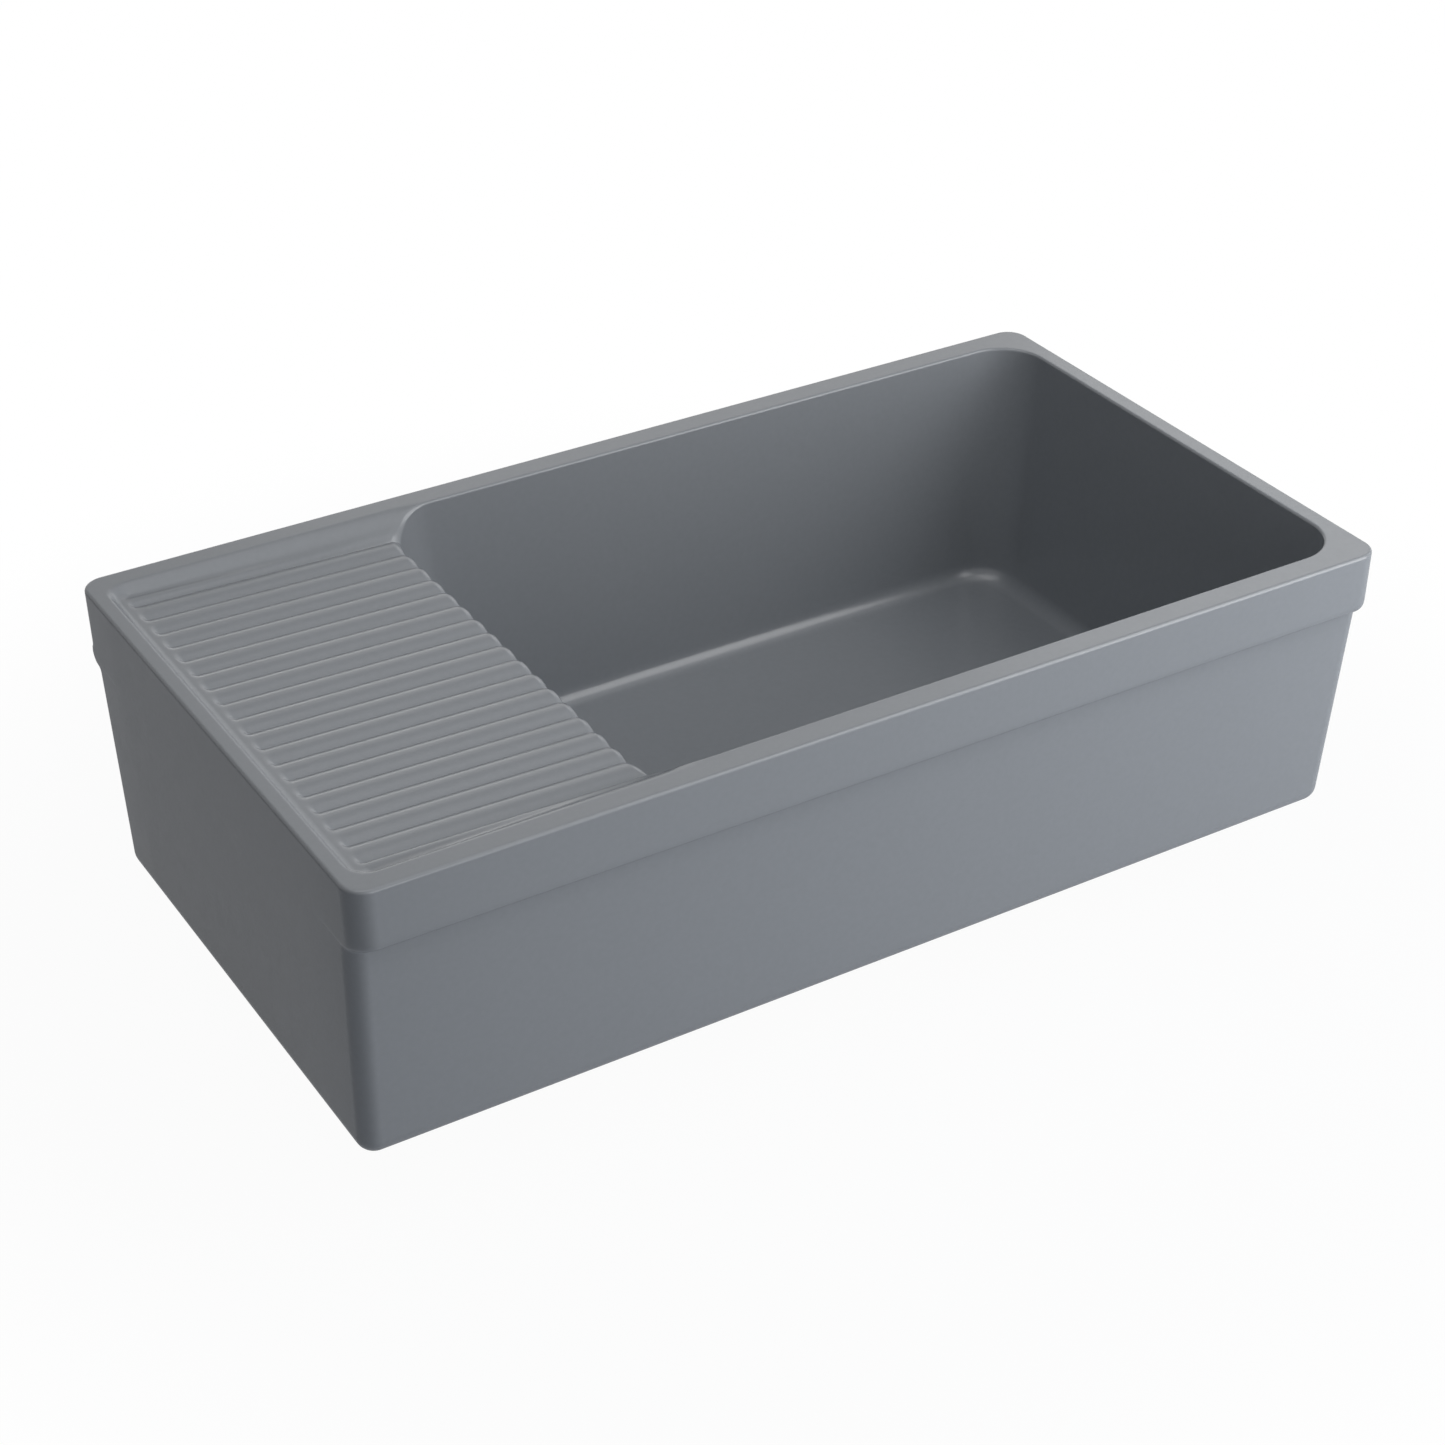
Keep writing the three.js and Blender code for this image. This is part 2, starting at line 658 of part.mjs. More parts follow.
function couplingNut() {
  const throat = tailpieceRadius + tailpieceClearance;
  const thread = outletRadius + runningGap;
  const outer = thread + couplingNutWall;
  const nut = turned([
    [throat, couplingNutBottom],
    [outer - couplingNutBevel, couplingNutBottom],
    [outer, couplingNutBottom + couplingNutBevel],
    [outer, couplingNutTop],
    [thread, couplingNutTop],
    [thread, couplingNutBottom + couplingNutFloor],
    [throat, couplingNutBottom + couplingNutFloor],
    [throat, couplingNutBottom],
  ]);
  const ribs = around(couplingNutRibs, (angle) => radialBar({
    inner: outer - couplingNutRibReach,
    outer: outer + couplingNutRibReach,
    width: couplingNutRibWidth,
    bottom: couplingNutBottom + couplingNutBevel,
    top: couplingNutTop - couplingNutBevel,
    angle,
  }));
  return toGeometry(joined(nut, ribs));
}

// Four spokes carry a hub in the outlet, where the post's clip sits.
function strainerCross() {
  const rimOuter = outletBore - runningGap;
  const rimInner = rimOuter - crossRimWidth;
  const overlap = 1;
  const level = { bottom: crossBottom, top: crossTop };
  const rim = ring({ inner: rimInner, outer: rimOuter, ...level });
  const hub = ring({ inner: clipOuter + runningGap, outer: crossHubRadius, ...level });
  const spokes = around(crossSpokes, (angle) => radialBar({
    inner: crossHubRadius - overlap,
    outer: rimInner + overlap,
    width: crossSpokeWidth,
    ...level,
    angle,
  }));
  return toGeometry(joined(rim, [hub, ...spokes]));
}

// A split spring sleeve with a collar that hangs it in the cross's hub.
function postClip() {
  const sleeve = turned([
    [onPost, clipBottom],
    [clipOuter, clipBottom],
    [clipOuter, clipTop - clipCollarHeight],
    [clipCollarRadius, clipTop - clipCollarHeight],
    [clipCollarRadius, clipTop],
    [onPost, clipTop],
    [onPost, clipBottom],
  ]);
  const slit = radialBar({
    inner: 0,
    outer: clipCollarRadius + cutAllowance,
    width: clipSlit,
    bottom: clipBottom - cutAllowance,
    top: clipTop + cutAllowance,
    angle: clipSlitAngle,
  });
  return toGeometry(toManifold(sleeve).subtract(toManifold(slit)));
}

// ---------------------------------------------------------------- basket and stopper

// Rubber disc with a lip that presses on the cup's floor round the outlet.
function stopperSeal() {
  const lip = 1.5;
  const crown = 4;
  return turned([
    [onPost, stopperBottom + stopperRecess],
    [outletBore, stopperBottom + stopperRecess],
    [outletBore + lip, stopperBottom],
    [stopperRadius, stopperBottom],
    [stopperRadius, stopperBottom + stopperEdge],
    [stopperRadius - crown, stopperTop],
    [onPost, stopperTop],
    [onPost, stopperBottom + stopperRecess],
  ]);
}

function backingWasher() {
  return ring({
    inner: onPost,
    outer: backingWasherRadius,
    bottom: backingWasherBottom,
    top: backingWasherBottom + backingWasherHeight,
  });
}

function postNut() {
  const radius = postRadius + postNutRim;
  const nut = new THREE.CylinderGeometry(radius, radius, postNutHeight, 6)
    .rotateX(Math.PI / 2)
    .translate(0, 0, (postNutTop + postNutBottom) / 2);
  const bore = disc({
    radius: onPost,
    bottom: postNutBottom - cutAllowance,
    top: postNutTop + cutAllowance,
  });
  return toGeometry(toManifold(nut).subtract(toManifold(bore)));
}

// Pressed cup with a rolled rim, slots in its wall and a ring of holes in its floor.
function basketCup() {
  const footRadius = basketFloorRadius + basketFootWidth;
  const footTop = basketFloor + basketFootHeight;
  const cup = turned([
    [onPost, basketFloor],
    [basketFloorRadius, basketFloor],
    [footRadius, footTop],
    [basketRadius - basketRimWidth, basketRim - basketRimHeight],
    [basketRadius, basketRim - basketRimHeight],
    [basketRadius, basketRim],
    [basketRadius - basketRimWidth - basketWall, basketRim],
    [footRadius - basketWall, footTop + basketWall],
    [basketFloorRadius - basketWall / 2, basketFloor + basketWall],
    [onPost, basketFloor + basketWall],
    [onPost, basketFloor],
  ]);
  const slotBottom = footTop + (basketDepth - wallSlotHeight) / 2;
  const slots = around(wallSlots, (angle) => radialBar({
    inner: basketFloorRadius - basketWall,
    outer: basketRadius + cutAllowance,
    width: wallSlotWidth,
    bottom: slotBottom,
    top: slotBottom + wallSlotHeight,
    angle,
  }));
  const holeSides = 8;
  const holes = around(floorHoles, (angle) => {
    const length = 2 * (basketWall + cutAllowance);
    const hole = new THREE.CylinderGeometry(floorHoleRadius, floorHoleRadius, length, holeSides);
    return hole.rotateX(Math.PI / 2).translate(floorHoleCircle, 0, basketFloor).rotateZ(angle);
  });
  return toGeometry(toManifold(cup).subtract(toManifold(mergeGeometries([...slots, ...holes]))));
}

function basketCollar() {
  const outer = postRadius + collarRim;
  const bevel = 1;
  return turned([
    [onPost, collarBottom],
    [outer, collarBottom],
    [outer - bevel, collarBottom + collarHeight],
    [onPost, collarBottom + collarHeight],
    [onPost, collarBottom],
  ]);
}

// Rod through basket, stopper and clip, with two grooves that the clip snaps into.
function basketPost() {
  const core = postRadius - postGrooveDepth;
  const grooves = [lowerGroove, upperGroove].flatMap((z) => [
    [postRadius, z - postGrooveWidth / 2],
    [core, z - postGrooveFlat / 2],
    [core, z + postGrooveFlat / 2],
    [postRadius, z + postGrooveWidth / 2],
  ]);
  return turned([
    [0, postTip],
    [postRadius - postTipBevel, postTip],
    [postRadius, postTip + 1.5 * postTipBevel],
    ...grooves,
    [postRadius, postTop],
    [0, postTop],
  ]);
}

// Turned knob on a narrow neck, with a blind bore for the post.
function basketKnob() {
  const outline = [
    [0.55, 0],
    [0.5, 0.27],
    [0.62, 0.46],
    [0.95, 0.58],
    [1, 0.72],
    [0.93, 0.86],
    [0.6, 0.96],
    [0, 1],
  ]; // as shares of the knob's radius and height
  return turned([
    [0, postTop + runningGap],
    [onPost, postTop + runningGap],
    [onPost, knobBottom],
    ...outline.map(([across, up]) => [across * knobRadius, knobBottom + up * knobHeight]),
  ]);
}

// ---------------------------------------------------------------- the assembly

const sink = new THREE.Group();
const strainer = new THREE.Group();
strainer.position.x = drainX;
sink.add(strainer);

function place(parent, name, geometry, finish) {
  const mesh = new THREE.Mesh(geometry, finish);
  mesh.name = name;
  parent.add(mesh);
}

place(sink, 'sink_basin', sinkBasin(), fireclay);

place(strainer, 'flange_seal', flangeSeal(), putty);
place(strainer, 'strainer_body', strainerBody(), stainless);
place(strainer, 'under_gasket', underWasher(underGasketHeight, gasketTop), blackRubber);
place(strainer, 'friction_washer', underWasher(frictionWasherHeight, frictionWasherTop), fibre);
place(strainer, 'lock_nut', lockNut(), brass);
place(strainer, 'coupling_washer', couplingWasher(), nylon);
place(strainer, 'coupling_nut', couplingNut(), brass);
place(strainer, 'strainer_cross', strainerCross(), stainless);
place(strainer, 'post_clip', postClip(), brass);

place(strainer, 'basket_cup', basketCup(), stainless);
place(strainer, 'basket_collar', basketCollar(), stainless);
place(strainer, 'basket_post', basketPost(), stainless);
place(strainer, 'basket_knob', basketKnob(), stainless);
place(strainer, 'backing_washer', backingWasher(), stainless);
place(strainer, 'stopper_seal', stopperSeal(), blackRubber);
place(strainer, 'post_nut', postNut(), brass);

export default sink;
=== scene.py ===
import math

import bmesh
import bpy
import numpy as np
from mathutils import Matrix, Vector
from mathutils.geometry import delaunay_2d_cdt


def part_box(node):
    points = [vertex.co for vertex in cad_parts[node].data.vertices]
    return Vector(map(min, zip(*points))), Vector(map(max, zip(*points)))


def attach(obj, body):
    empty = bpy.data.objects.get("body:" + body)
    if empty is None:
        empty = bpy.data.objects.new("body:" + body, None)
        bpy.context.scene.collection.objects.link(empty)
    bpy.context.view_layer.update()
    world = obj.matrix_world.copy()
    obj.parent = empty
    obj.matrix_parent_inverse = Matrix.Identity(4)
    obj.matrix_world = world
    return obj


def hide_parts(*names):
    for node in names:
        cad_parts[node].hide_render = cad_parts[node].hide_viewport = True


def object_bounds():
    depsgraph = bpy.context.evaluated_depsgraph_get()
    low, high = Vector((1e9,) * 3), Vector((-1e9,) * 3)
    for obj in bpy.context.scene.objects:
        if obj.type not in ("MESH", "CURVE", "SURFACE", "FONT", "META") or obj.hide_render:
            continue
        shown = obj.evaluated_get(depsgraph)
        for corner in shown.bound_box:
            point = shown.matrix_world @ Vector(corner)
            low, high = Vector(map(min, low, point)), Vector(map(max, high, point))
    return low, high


# Farmhouse apron-front sink in grey glazed fireclay, with the basket strainer that closes its drain.
# Shapes are worked out in millimetres in the frame's axes and become metres when a mesh is made.

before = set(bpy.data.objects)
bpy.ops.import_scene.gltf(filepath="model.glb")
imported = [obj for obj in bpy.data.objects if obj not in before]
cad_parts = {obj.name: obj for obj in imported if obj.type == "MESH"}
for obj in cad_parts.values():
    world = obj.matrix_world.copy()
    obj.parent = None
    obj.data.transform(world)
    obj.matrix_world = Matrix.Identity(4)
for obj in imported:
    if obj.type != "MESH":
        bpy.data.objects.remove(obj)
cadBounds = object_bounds()
millimetre = 0.001

camera = {
    "place": (-1075, -1736.3, 1400.7),
    "azimuth": -31.47,  # degrees, 0 looks along +Y
    "elevation": 32.36,
    "lens": 73.08,  # mm
    "sensor": 36,
    "farthest": 100,  # m
}

studio = {
    "floorGap": 0.6,  # mm between the lowest point and the floor
    "floorSize": 9000,
    "floorColour": "#b4bac3",
    "glowNear": 0.96,  # share of white that the floor shows the camera by itself, beside the sink
    "glowStart": 550,  # mm from the middle, where that share starts to rise to 1
    "glowEnd": 1000,
    "mirroredGlow": 0.35,  # and the share that the floor shows in reflections
    "fillColour": "#eef1f4",
    "fillStrength": 0.055,
    "aim": (100, -20, 130),
    "lamps": {  # place, size and power in watts
        "key": ((1050, -1150, 1500), 1300, 17.4),
        "low right": ((1250, -1300, 500), 900, 12.9),
        "front": ((0, -2600, 700), 1500, 15.4),
        "top": ((50, -50, 1900), 1200, 3),
        "top left": ((-600, 0, 1900), 1200, 5.8),
        "back": ((1300, 2300, 1600), 1500, 2.6),
        "back right": ((1750, 1300, 1250), 700, 1.6),
        "back low": ((400, 2800, 250), 1200, 4),
    },
}


def linear(code):
    # sRGB hex to linear: each channel over 12.92 near black, else ((c + 0.055) / 1.055) to the 2.4
    channels = [int(code[i:i + 2], 16) / 255 for i in (1, 3, 5)]
    return [c / 12.92 if c <= 0.04045 else ((c + 0.055) / 1.055) ** 2.4 for c in channels] + [1]


def addNode(tree, kind, links=(), **settings):
    # One node with its settings and links. A link is an input's name or number and its source, which is a
    # socket or a node whose first output it takes. A setting that starts with in_ is the value of an input.
    node = tree.nodes.new(kind)
    for key, value in settings.items():
        if key.startswith("in_"):
            name = key[3:].replace("_", " ")
            node.inputs[int(name) if name.isdigit() else name].default_value = value
        else:
            setattr(node, key, value)
    for target, origin in links:
        tree.links.new(origin.outputs[0] if hasattr(origin, "outputs") else origin, node.inputs[target])
    return node


def newMaterial(name):
    # an empty material, its nodes and the place on the object in metres
    material = bpy.data.materials.new(name)
    material.use_nodes = True
    tree = material.node_tree
    tree.nodes.clear()
    return material, tree, addNode(tree, "ShaderNodeTexCoord").outputs["Object"]


def newObject(name, data):
    thing = bpy.data.objects.new(name, data)
    bpy.context.collection.objects.link(thing)
    return thing


def makeCamera():
    lens = bpy.data.cameras.new("camera")
    lens.lens = camera["lens"]
    lens.sensor_width = camera["sensor"]
    lens.clip_end = camera["farthest"]
    eye = newObject("camera", lens)
    eye.location = Vector(camera["place"]) * millimetre
    turn, lift = math.radians(camera["azimuth"]), math.radians(camera["elevation"])
    ahead = Vector((-math.sin(turn) * math.cos(lift), math.cos(turn) * math.cos(lift), -math.sin(lift)))
    eye.rotation_euler = ahead.to_track_quat("-Z", "Y").to_euler()
    bpy.context.scene.camera = eye


def makeLamp(name, place, size, power):
    light = bpy.data.lights.new(name, "AREA")
    light.size = size * millimetre
    light.energy = power
    lamp = newObject(name, light)
    lamp.location = Vector(place) * millimetre
    lamp.rotation_euler = (Vector(studio["aim"]) - Vector(place)).to_track_quat("-Z", "Y").to_euler()


def backdropRays(tree):
    # 1 for a ray straight from the camera, then 1 for a mirrored ray or one through glass
    rays = addNode(tree, "ShaderNodeLightPath").outputs
    bent = addNode(tree, "ShaderNodeMath", [(0, rays["Is Glossy Ray"]), (1, rays["Is Transmission Ray"])],
                   operation="MAXIMUM")
    return rays["Is Camera Ray"], bent


def makeWorld():
    # a weak even fill that the camera and mirrored rays see as pure white
    world = bpy.data.worlds.new("white studio")
    bpy.context.scene.world = world
    world.use_nodes = True
    tree = world.node_tree
    tree.nodes.clear()
    straight, bent = backdropRays(tree)
    fill = addNode(tree, "ShaderNodeBackground", in_Color=linear(studio["fillColour"]),
                   in_Strength=studio["fillStrength"])
    white = addNode(tree, "ShaderNodeBackground", in_Color=(1, 1, 1, 1), in_Strength=1)
    seen = addNode(tree, "ShaderNodeMath", [(0, straight), (1, bent)], operation="MAXIMUM")
    pick = addNode(tree, "ShaderNodeMixShader", [(0, seen), (1, fill), (2, white)])
    addNode(tree, "ShaderNodeOutputWorld", [(0, pick)])


def makeFloor():
    # pale paper that glows white to the camera, a little less beside the sink so that its shadow shows
    lowest = cadBounds[0][2] - studio["floorGap"] * millimetre
    half = studio["floorSize"] / 2 * millimetre
    corners = [(x * half, y * half, lowest) for x, y in ((-1, -1), (1, -1), (1, 1), (-1, 1))]
    mesh = bpy.data.meshes.new("floor")
    mesh.from_pydata(corners, [], [(0, 1, 2, 3)])
    floor = newObject("floor", mesh)
    material, tree, place = newMaterial("paper floor")
    straight, bent = backdropRays(tree)
    away = addNode(tree, "ShaderNodeVectorMath", [(0, place)], operation="LENGTH").outputs["Value"]
    rise = addNode(tree, "ShaderNodeMapRange", [("Value", away)], interpolation_type="SMOOTHSTEP",
                   in_From_Min=studio["glowStart"] * millimetre, in_From_Max=studio["glowEnd"] * millimetre,
                   in_To_Min=studio["glowNear"], in_To_Max=1.0)
    mirrored = addNode(tree, "ShaderNodeMath", [(0, bent)], operation="MULTIPLY",
                       in_1=studio["mirroredGlow"])
    direct = addNode(tree, "ShaderNodeMath", [(0, straight), (1, rise)], operation="MULTIPLY")
    share = addNode(tree, "ShaderNodeMath", [(0, direct), (1, mirrored)], operation="MAXIMUM")
    paper = addNode(tree, "ShaderNodeBsdfPrincipled", in_Base_Color=linear(studio["floorColour"]),
                    in_Roughness=0.9, in_Specular_IOR_Level=0)
    glow = addNode(tree, "ShaderNodeEmission", in_Color=(1, 1, 1, 1), in_Strength=1)
    both = addNode(tree, "ShaderNodeMixShader", [(0, share), (1, paper), (2, glow)])
    addNode(tree, "ShaderNodeOutputMaterial", [(0, both)])
    mesh.materials.append(material)


def makeStudio():
    makeWorld()
    for name, (place, size, power) in studio["lamps"].items():
        makeLamp(name, place, size, power)
    makeFloor()


def smooth(value, low, high):
    # 0 below low, 1 above high, and 3t^2 - 2t^3 between
    t = np.clip((value - low) / (high - low), 0, 1)
    return t * t * (3 - 2 * t)


def halfChord(radius, offset):
    # half the width of a circle at an offset from its centre, and 0 outside it
    return np.sqrt(np.maximum(radius ** 2 - offset ** 2, 0))


def roundCorner(x, z, reachX, reachZ, steps=8):
    # a quarter ellipse that rounds the corner at x and z, from reachX beside it to reachZ above it
    sine = np.sin(np.linspace(0, math.pi / 2, steps + 1))
    return np.column_stack([x + reachX * (1 - sine), z + reachZ * (1 - sine[::-1])])


def gridQuads(rows, columns, closed=False):
    # the four corners of every cell of a rows by columns grid, and of the cell that closes each row
    index = np.arange(rows * columns).reshape(rows, columns)
    if closed:
        index = np.hstack([index, index[:, :1]])
    corners = (index[:-1, :-1], index[:-1, 1:], index[1:, 1:], index[1:, :-1])
    return np.stack([corner.ravel() for corner in corners], axis=1)


def band(loops):
    # a surface through a stack of equal closed loops of points
    stack = np.asarray(loops)
    return stack.reshape(-1, 3), gridQuads(stack.shape[0], stack.shape[1], closed=True)


def inLoop(points, loop):
    # true where a level ray from the point crosses the loop an odd number of times
    x, y = points[:, :1], points[:, 1:2]
    x0, y0 = loop[:, 0], loop[:, 1]
    x1, y1 = np.roll(x0, -1), np.roll(y0, -1)
    level = np.where(y1 == y0, 1e-12, y1 - y0)
    crossed = ((y0 > y) != (y1 > y)) & (x < x0 + (x1 - x0) * (y - y0) / level)
    return crossed.sum(axis=1) % 2 == 1


def flatFill(outline, holes, height):
    # triangles that fill a level outline round its holes
    loops = [outline, *holes]
    edges, start = [], 0
    for loop in loops:
        ring = np.arange(start, start + len(loop))
        edges += np.stack([ring, np.roll(ring, -1)], axis=1).tolist()
        start += len(loop)
    flat = np.vstack(loops)[:, :2]
    found = delaunay_2d_cdt([Vector(point) for point in flat.tolist()], edges, [], 1, 1e-7)
    points = np.array([tuple(point) for point in found[0]])
    faces = np.array([list(face) for face in found[2]])
    middles = points[faces].mean(axis=1)
    keep = inLoop(middles, outline)
    for hole in holes:
        keep &= ~inLoop(middles, hole)
    return np.column_stack([points, np.full(len(points), height)]), faces[keep]


def makePiece(name, patches, creaseAngle=40, marked=()):
    # One mesh from surface patches: points that coincide are welded and faces turned outwards. The faces of
    # the marked patches carry 1 in the attribute "unglazed".
    points, starts, corners, marks = [], [], [], []
    pointCount = cornerCount = 0
    for number, (patchPoints, faces) in enumerate(patches):
        points.append(patchPoints)
        corners.append((faces + pointCount).ravel())
        starts.append(cornerCount + np.arange(len(faces)) * faces.shape[1])
        marks.append(np.full(len(faces), float(number in marked)))
        pointCount += len(patchPoints)
        cornerCount += faces.size
    used, corners = np.unique(np.concatenate(corners), return_inverse=True)
    starts = np.concatenate(starts)
    mesh = bpy.data.meshes.new(name)
    mesh.vertices.add(len(used))
    mesh.loops.add(cornerCount)
    mesh.polygons.add(len(starts))
    mesh.vertices.foreach_set("co", (np.vstack(points)[used] * millimetre).astype(np.float32).ravel())
    mesh.loops.foreach_set("vertex_index", corners.astype(np.int32).ravel())
    mesh.polygons.foreach_set("loop_start", starts.astype(np.int32))
    if marked:
        mesh.attributes.new("unglazed", "FLOAT", "FACE").data.foreach_set("value", np.concatenate(marks))
    mesh.update(calc_edges=True)
    work = bmesh.new()
    work.from_mesh(mesh)
    bmesh.ops.remove_doubles(work, verts=work.verts, dist=2e-6)
    bmesh.ops.recalc_face_normals(work, faces=work.faces)
    work.to_mesh(mesh)
    work.free()
    mesh.shade_smooth()
    mesh.set_sharp_from_angle(angle=math.radians(creaseAngle))
    return newObject(name, mesh)


casting = {
    "length": 914.25,
    "width": 500,
    "height": 254,
    "endDraft": 6.3,  # lean of each end at the foot
    "insetAtRim": 8.3,  # front and back faces behind their bands
    "insetAtFoot": 26.4,
    "frontBand": 54,
    "backBand": 66,
    "bandLip": 9,  # height of the round under each band, and of the hollow curve below it
    "lipHollow": 6,
    "lipHollowOut": 0.4,  # share of the band's step that the hollow curve takes
    "bandCorner": 19,
    "bodyCorner": 15,
    "topEdge": 2.8,
    "footEdge": 14,
    "sideRim": 24.3,
    "endRim": 17.2,
    "boardLength": 255.2,
    "bowlCorner": 42,
    "bowlEdge": 2.4,
    "leanSides": 15.5,
    "leanEnd": 28,
    "leanBoard": 20,
    "floor": 29,
    "floorFall": 3,
    "floorCurve": 15,
    "boardRimLeft": 12,
    "boardRimSides": 18,
    "boardCorner": 20,
    "boardStepLeft": 7,  # slope from the rim down to the board's left end
    "boardStep": 13,  # and from its front and back rims
    "boardStepSpread": 13,  # how much wider that slope grows towards the bowl
    "boardDrop": 6,
    "boardFall": 5.2,
    "boardEdge": 8,
    "grooves": 18,
    "grooveDepth": 3.4,
    "grooveDeepening": 0.8,  # further depth gained towards the bowl
    "grooveStart": 12.5,
    "grooveRunIn": 7,
    "edgeRib": 14.2,
    "edgeRibFoot": 0.4,
    "hollowWall": 18,
    "hollowCeiling": 20.2,
    "hollowCorner": 16,
    "hollowRoundIn": 0.6,  # how far the ceiling's round reaches in, as a share of its height
    "hollowMouthEdge": 1.5,
    "drainHole": 45.5,
    "flangeSeat": 22.6,
    "recess": 59.4,  # radius of the flange's recess at the floor
    "recessLean": 0.9,
    "recessLip": 1.6,  # round at its mouth
    "recessFillet": 0.8,
    "gasketSeat": 64,  # radius and depth of the recess in the underside
    "gasketSeatDepth": 3,
    "boreEdge": 1,  # rounds of the drain hole and of the gasket's recess
    "drainSmooth": 66,  # radius within which the floor is round the drain
    "flatStrip": 0.6,  # width of the narrow flat strip beside an edge's round
}
c = casting

halfLength, halfWidth, rim = c["length"] / 2, c["width"] / 2, c["height"]
bowlLeft = -halfLength + c["boardLength"]
bowlRight = halfLength - c["endRim"]
bowlSide = halfWidth - c["sideRim"]
wallTop = rim - c["bowlEdge"]
drainX = (bowlLeft + c["leanBoard"] + bowlRight - c["leanEnd"]) / 2
boardLeft = -halfLength + c["boardRimLeft"]
boardSide = halfWidth - c["boardRimSides"]
outerGroove = boardSide - c["boardStep"] - c["edgeRib"]
ribPitch = 2 * outerGroove / (c["grooves"] - 1)
curveFoot = c["floor"] + c["floorCurve"]  # height where the bowl's wall ends and the floor's curve begins
diagonal = 1 - math.sqrt(0.5)  # how far a unit arc's middle lies inside its corner


def insideBoard(x, y):
    # distance inside the drainboard's outline, which has round corners at the left and is open at the right
    radius = c["boardCorner"]
    fromLeft, fromSide = x - boardLeft, boardSide - np.abs(y)
    cornerX, cornerY = np.maximum(radius - fromLeft, 0), np.maximum(radius - fromSide, 0)
    inCorner = (cornerX > 0) & (cornerY > 0)
    return np.where(inCorner, radius - np.hypot(cornerX, cornerY), np.minimum(fromLeft, fromSide))


def stepWidth(x, y):
    # narrow at the board's left, wider along its sides and towards the bowl, and mixed by angle round its
    # left corners
    along = np.clip((x - boardLeft) / (bowlLeft - boardLeft), 0, 1)
    sides = c["boardStep"] + c["boardStepSpread"] * along
    cornerX = np.maximum(c["boardCorner"] - (x - boardLeft), 0)
    cornerY = np.maximum(c["boardCorner"] - (boardSide - np.abs(y)), 0)
    turn = np.where(cornerX > 0, np.arctan2(cornerY, cornerX) / (math.pi / 2), 1)
    return c["boardStepLeft"] + (sides - c["boardStepLeft"]) * turn


def outsideBowl(x, y):
    # distance outside the bowl's outline at the rim, a rectangle with round corners
    radius = c["bowlCorner"]
    pastX = np.maximum(np.maximum(bowlLeft + radius - x, x - (bowlRight - radius)), 0)
    pastY = np.maximum(np.abs(y) - (bowlSide - radius), 0)
    return np.hypot(pastX, pastY) - radius


def grooveShare(y):
    # 1 in a groove and 0 on a crest: the square of 2p - 1, with p running from 0 to 1 across each rib
    inward = outerGroove - np.abs(y)
    ribs = (2 * np.mod(np.maximum(inward, 0) / ribPitch, 1) - 1) ** 2
    across = np.clip(-inward / c["edgeRib"], 0, 1)
    edgeRibs = np.where(across < 0.5, 1, c["edgeRibFoot"]) * (2 * across - 1) ** 2
    return np.where(inward >= 0, ribs, edgeRibs)


def topHeight(x, y):
    # the rim less the drainboard's drop, less a quarter round where the surface turns down into the bowl
    corner = smooth(x, bowlLeft, bowlLeft + c["bowlCorner"])
    step = smooth(insideBoard(x, y), 0, stepWidth(x, y)) * (1 - corner)
    along = np.clip((x - boardLeft) / (bowlLeft - boardLeft), 0, 1)
    runIn = smooth(x - boardLeft - c["grooveStart"], 0, c["grooveRunIn"])
    roll = c["boardEdge"] + (c["bowlEdge"] - c["boardEdge"]) * corner
    past = np.clip(roll - outsideBowl(x, y), 0, roll)
    depth = c["grooveDepth"] + c["grooveDeepening"] * along
    drop = c["boardDrop"] + c["boardFall"] * along + depth * grooveShare(y) * runIn
    return rim - drop * step - (roll - halfChord(roll, past))


def floorHeight(x, y):
    # the floor falls to the drain as the product of two parabolas
    halfX = (bowlRight - c["leanEnd"] - bowlLeft - c["leanBoard"]) / 2 - c["floorCurve"]
    halfY = bowlSide - c["leanSides"] - c["floorCurve"]
    fall = np.clip(1 - ((x - drainX) / halfX) ** 2, 0, 1) * np.clip(1 - (y / halfY) ** 2, 0, 1)
    return c["floor"] - c["floorFall"] * fall


def bowlRings():
    # nested outlines from the rim to the floor: the margin outside the wall's face, and the wall's height
    top = [(c["bowlEdge"] + c["flatStrip"], wallTop), *roundCorner(0, wallTop, c["bowlEdge"], 0)]
    # wall rings are placed so that their corners fall on the lines beside the outermost groove
    besideGroove = np.array([6.8, 4.8, 3, 1.5, 0.5, 0, -0.5, -1.5, -3, -4.6])
    lean = (bowlSide - c["bowlCorner"] * diagonal - outerGroove - besideGroove) / c["leanSides"]
    wall = wallTop - lean * (wallTop - c["floor"])
    wall = wall[wall > curveFoot + 1]
    curve = roundCorner(0, c["floor"], -c["floorCurve"], c["floorCurve"])[::-1]
    rings = np.vstack([top, np.column_stack([0 * wall, wall]), curve])
    return rings[:, 0], rings[:, 1], len(top)


def drainRings():
    # circles from the floor into the flange's recess, over its seat and into the hole: radius and height
    floorThere = float(floorHeight(drainX + c["recess"], 0))
    foot, seat = c["recess"] - c["recessLean"], c["flangeSeat"]
    lip, fillet, edge = c["recessLip"], c["recessFillet"], c["boreEdge"]
    rings = [
        (c["drainSmooth"], floorThere),
        (c["recess"] + lip + c["flatStrip"], floorThere),
        *roundCorner(c["recess"], floorThere, lip, -lip, 4),
        *roundCorner(foot, seat, -fillet, fillet, 4)[::-1],
        (foot - 5, seat),
        (c["drainHole"] + 3, seat),
        *roundCorner(c["drainHole"], seat, edge, -edge, 4),
    ]
    return np.array(rings), floorThere


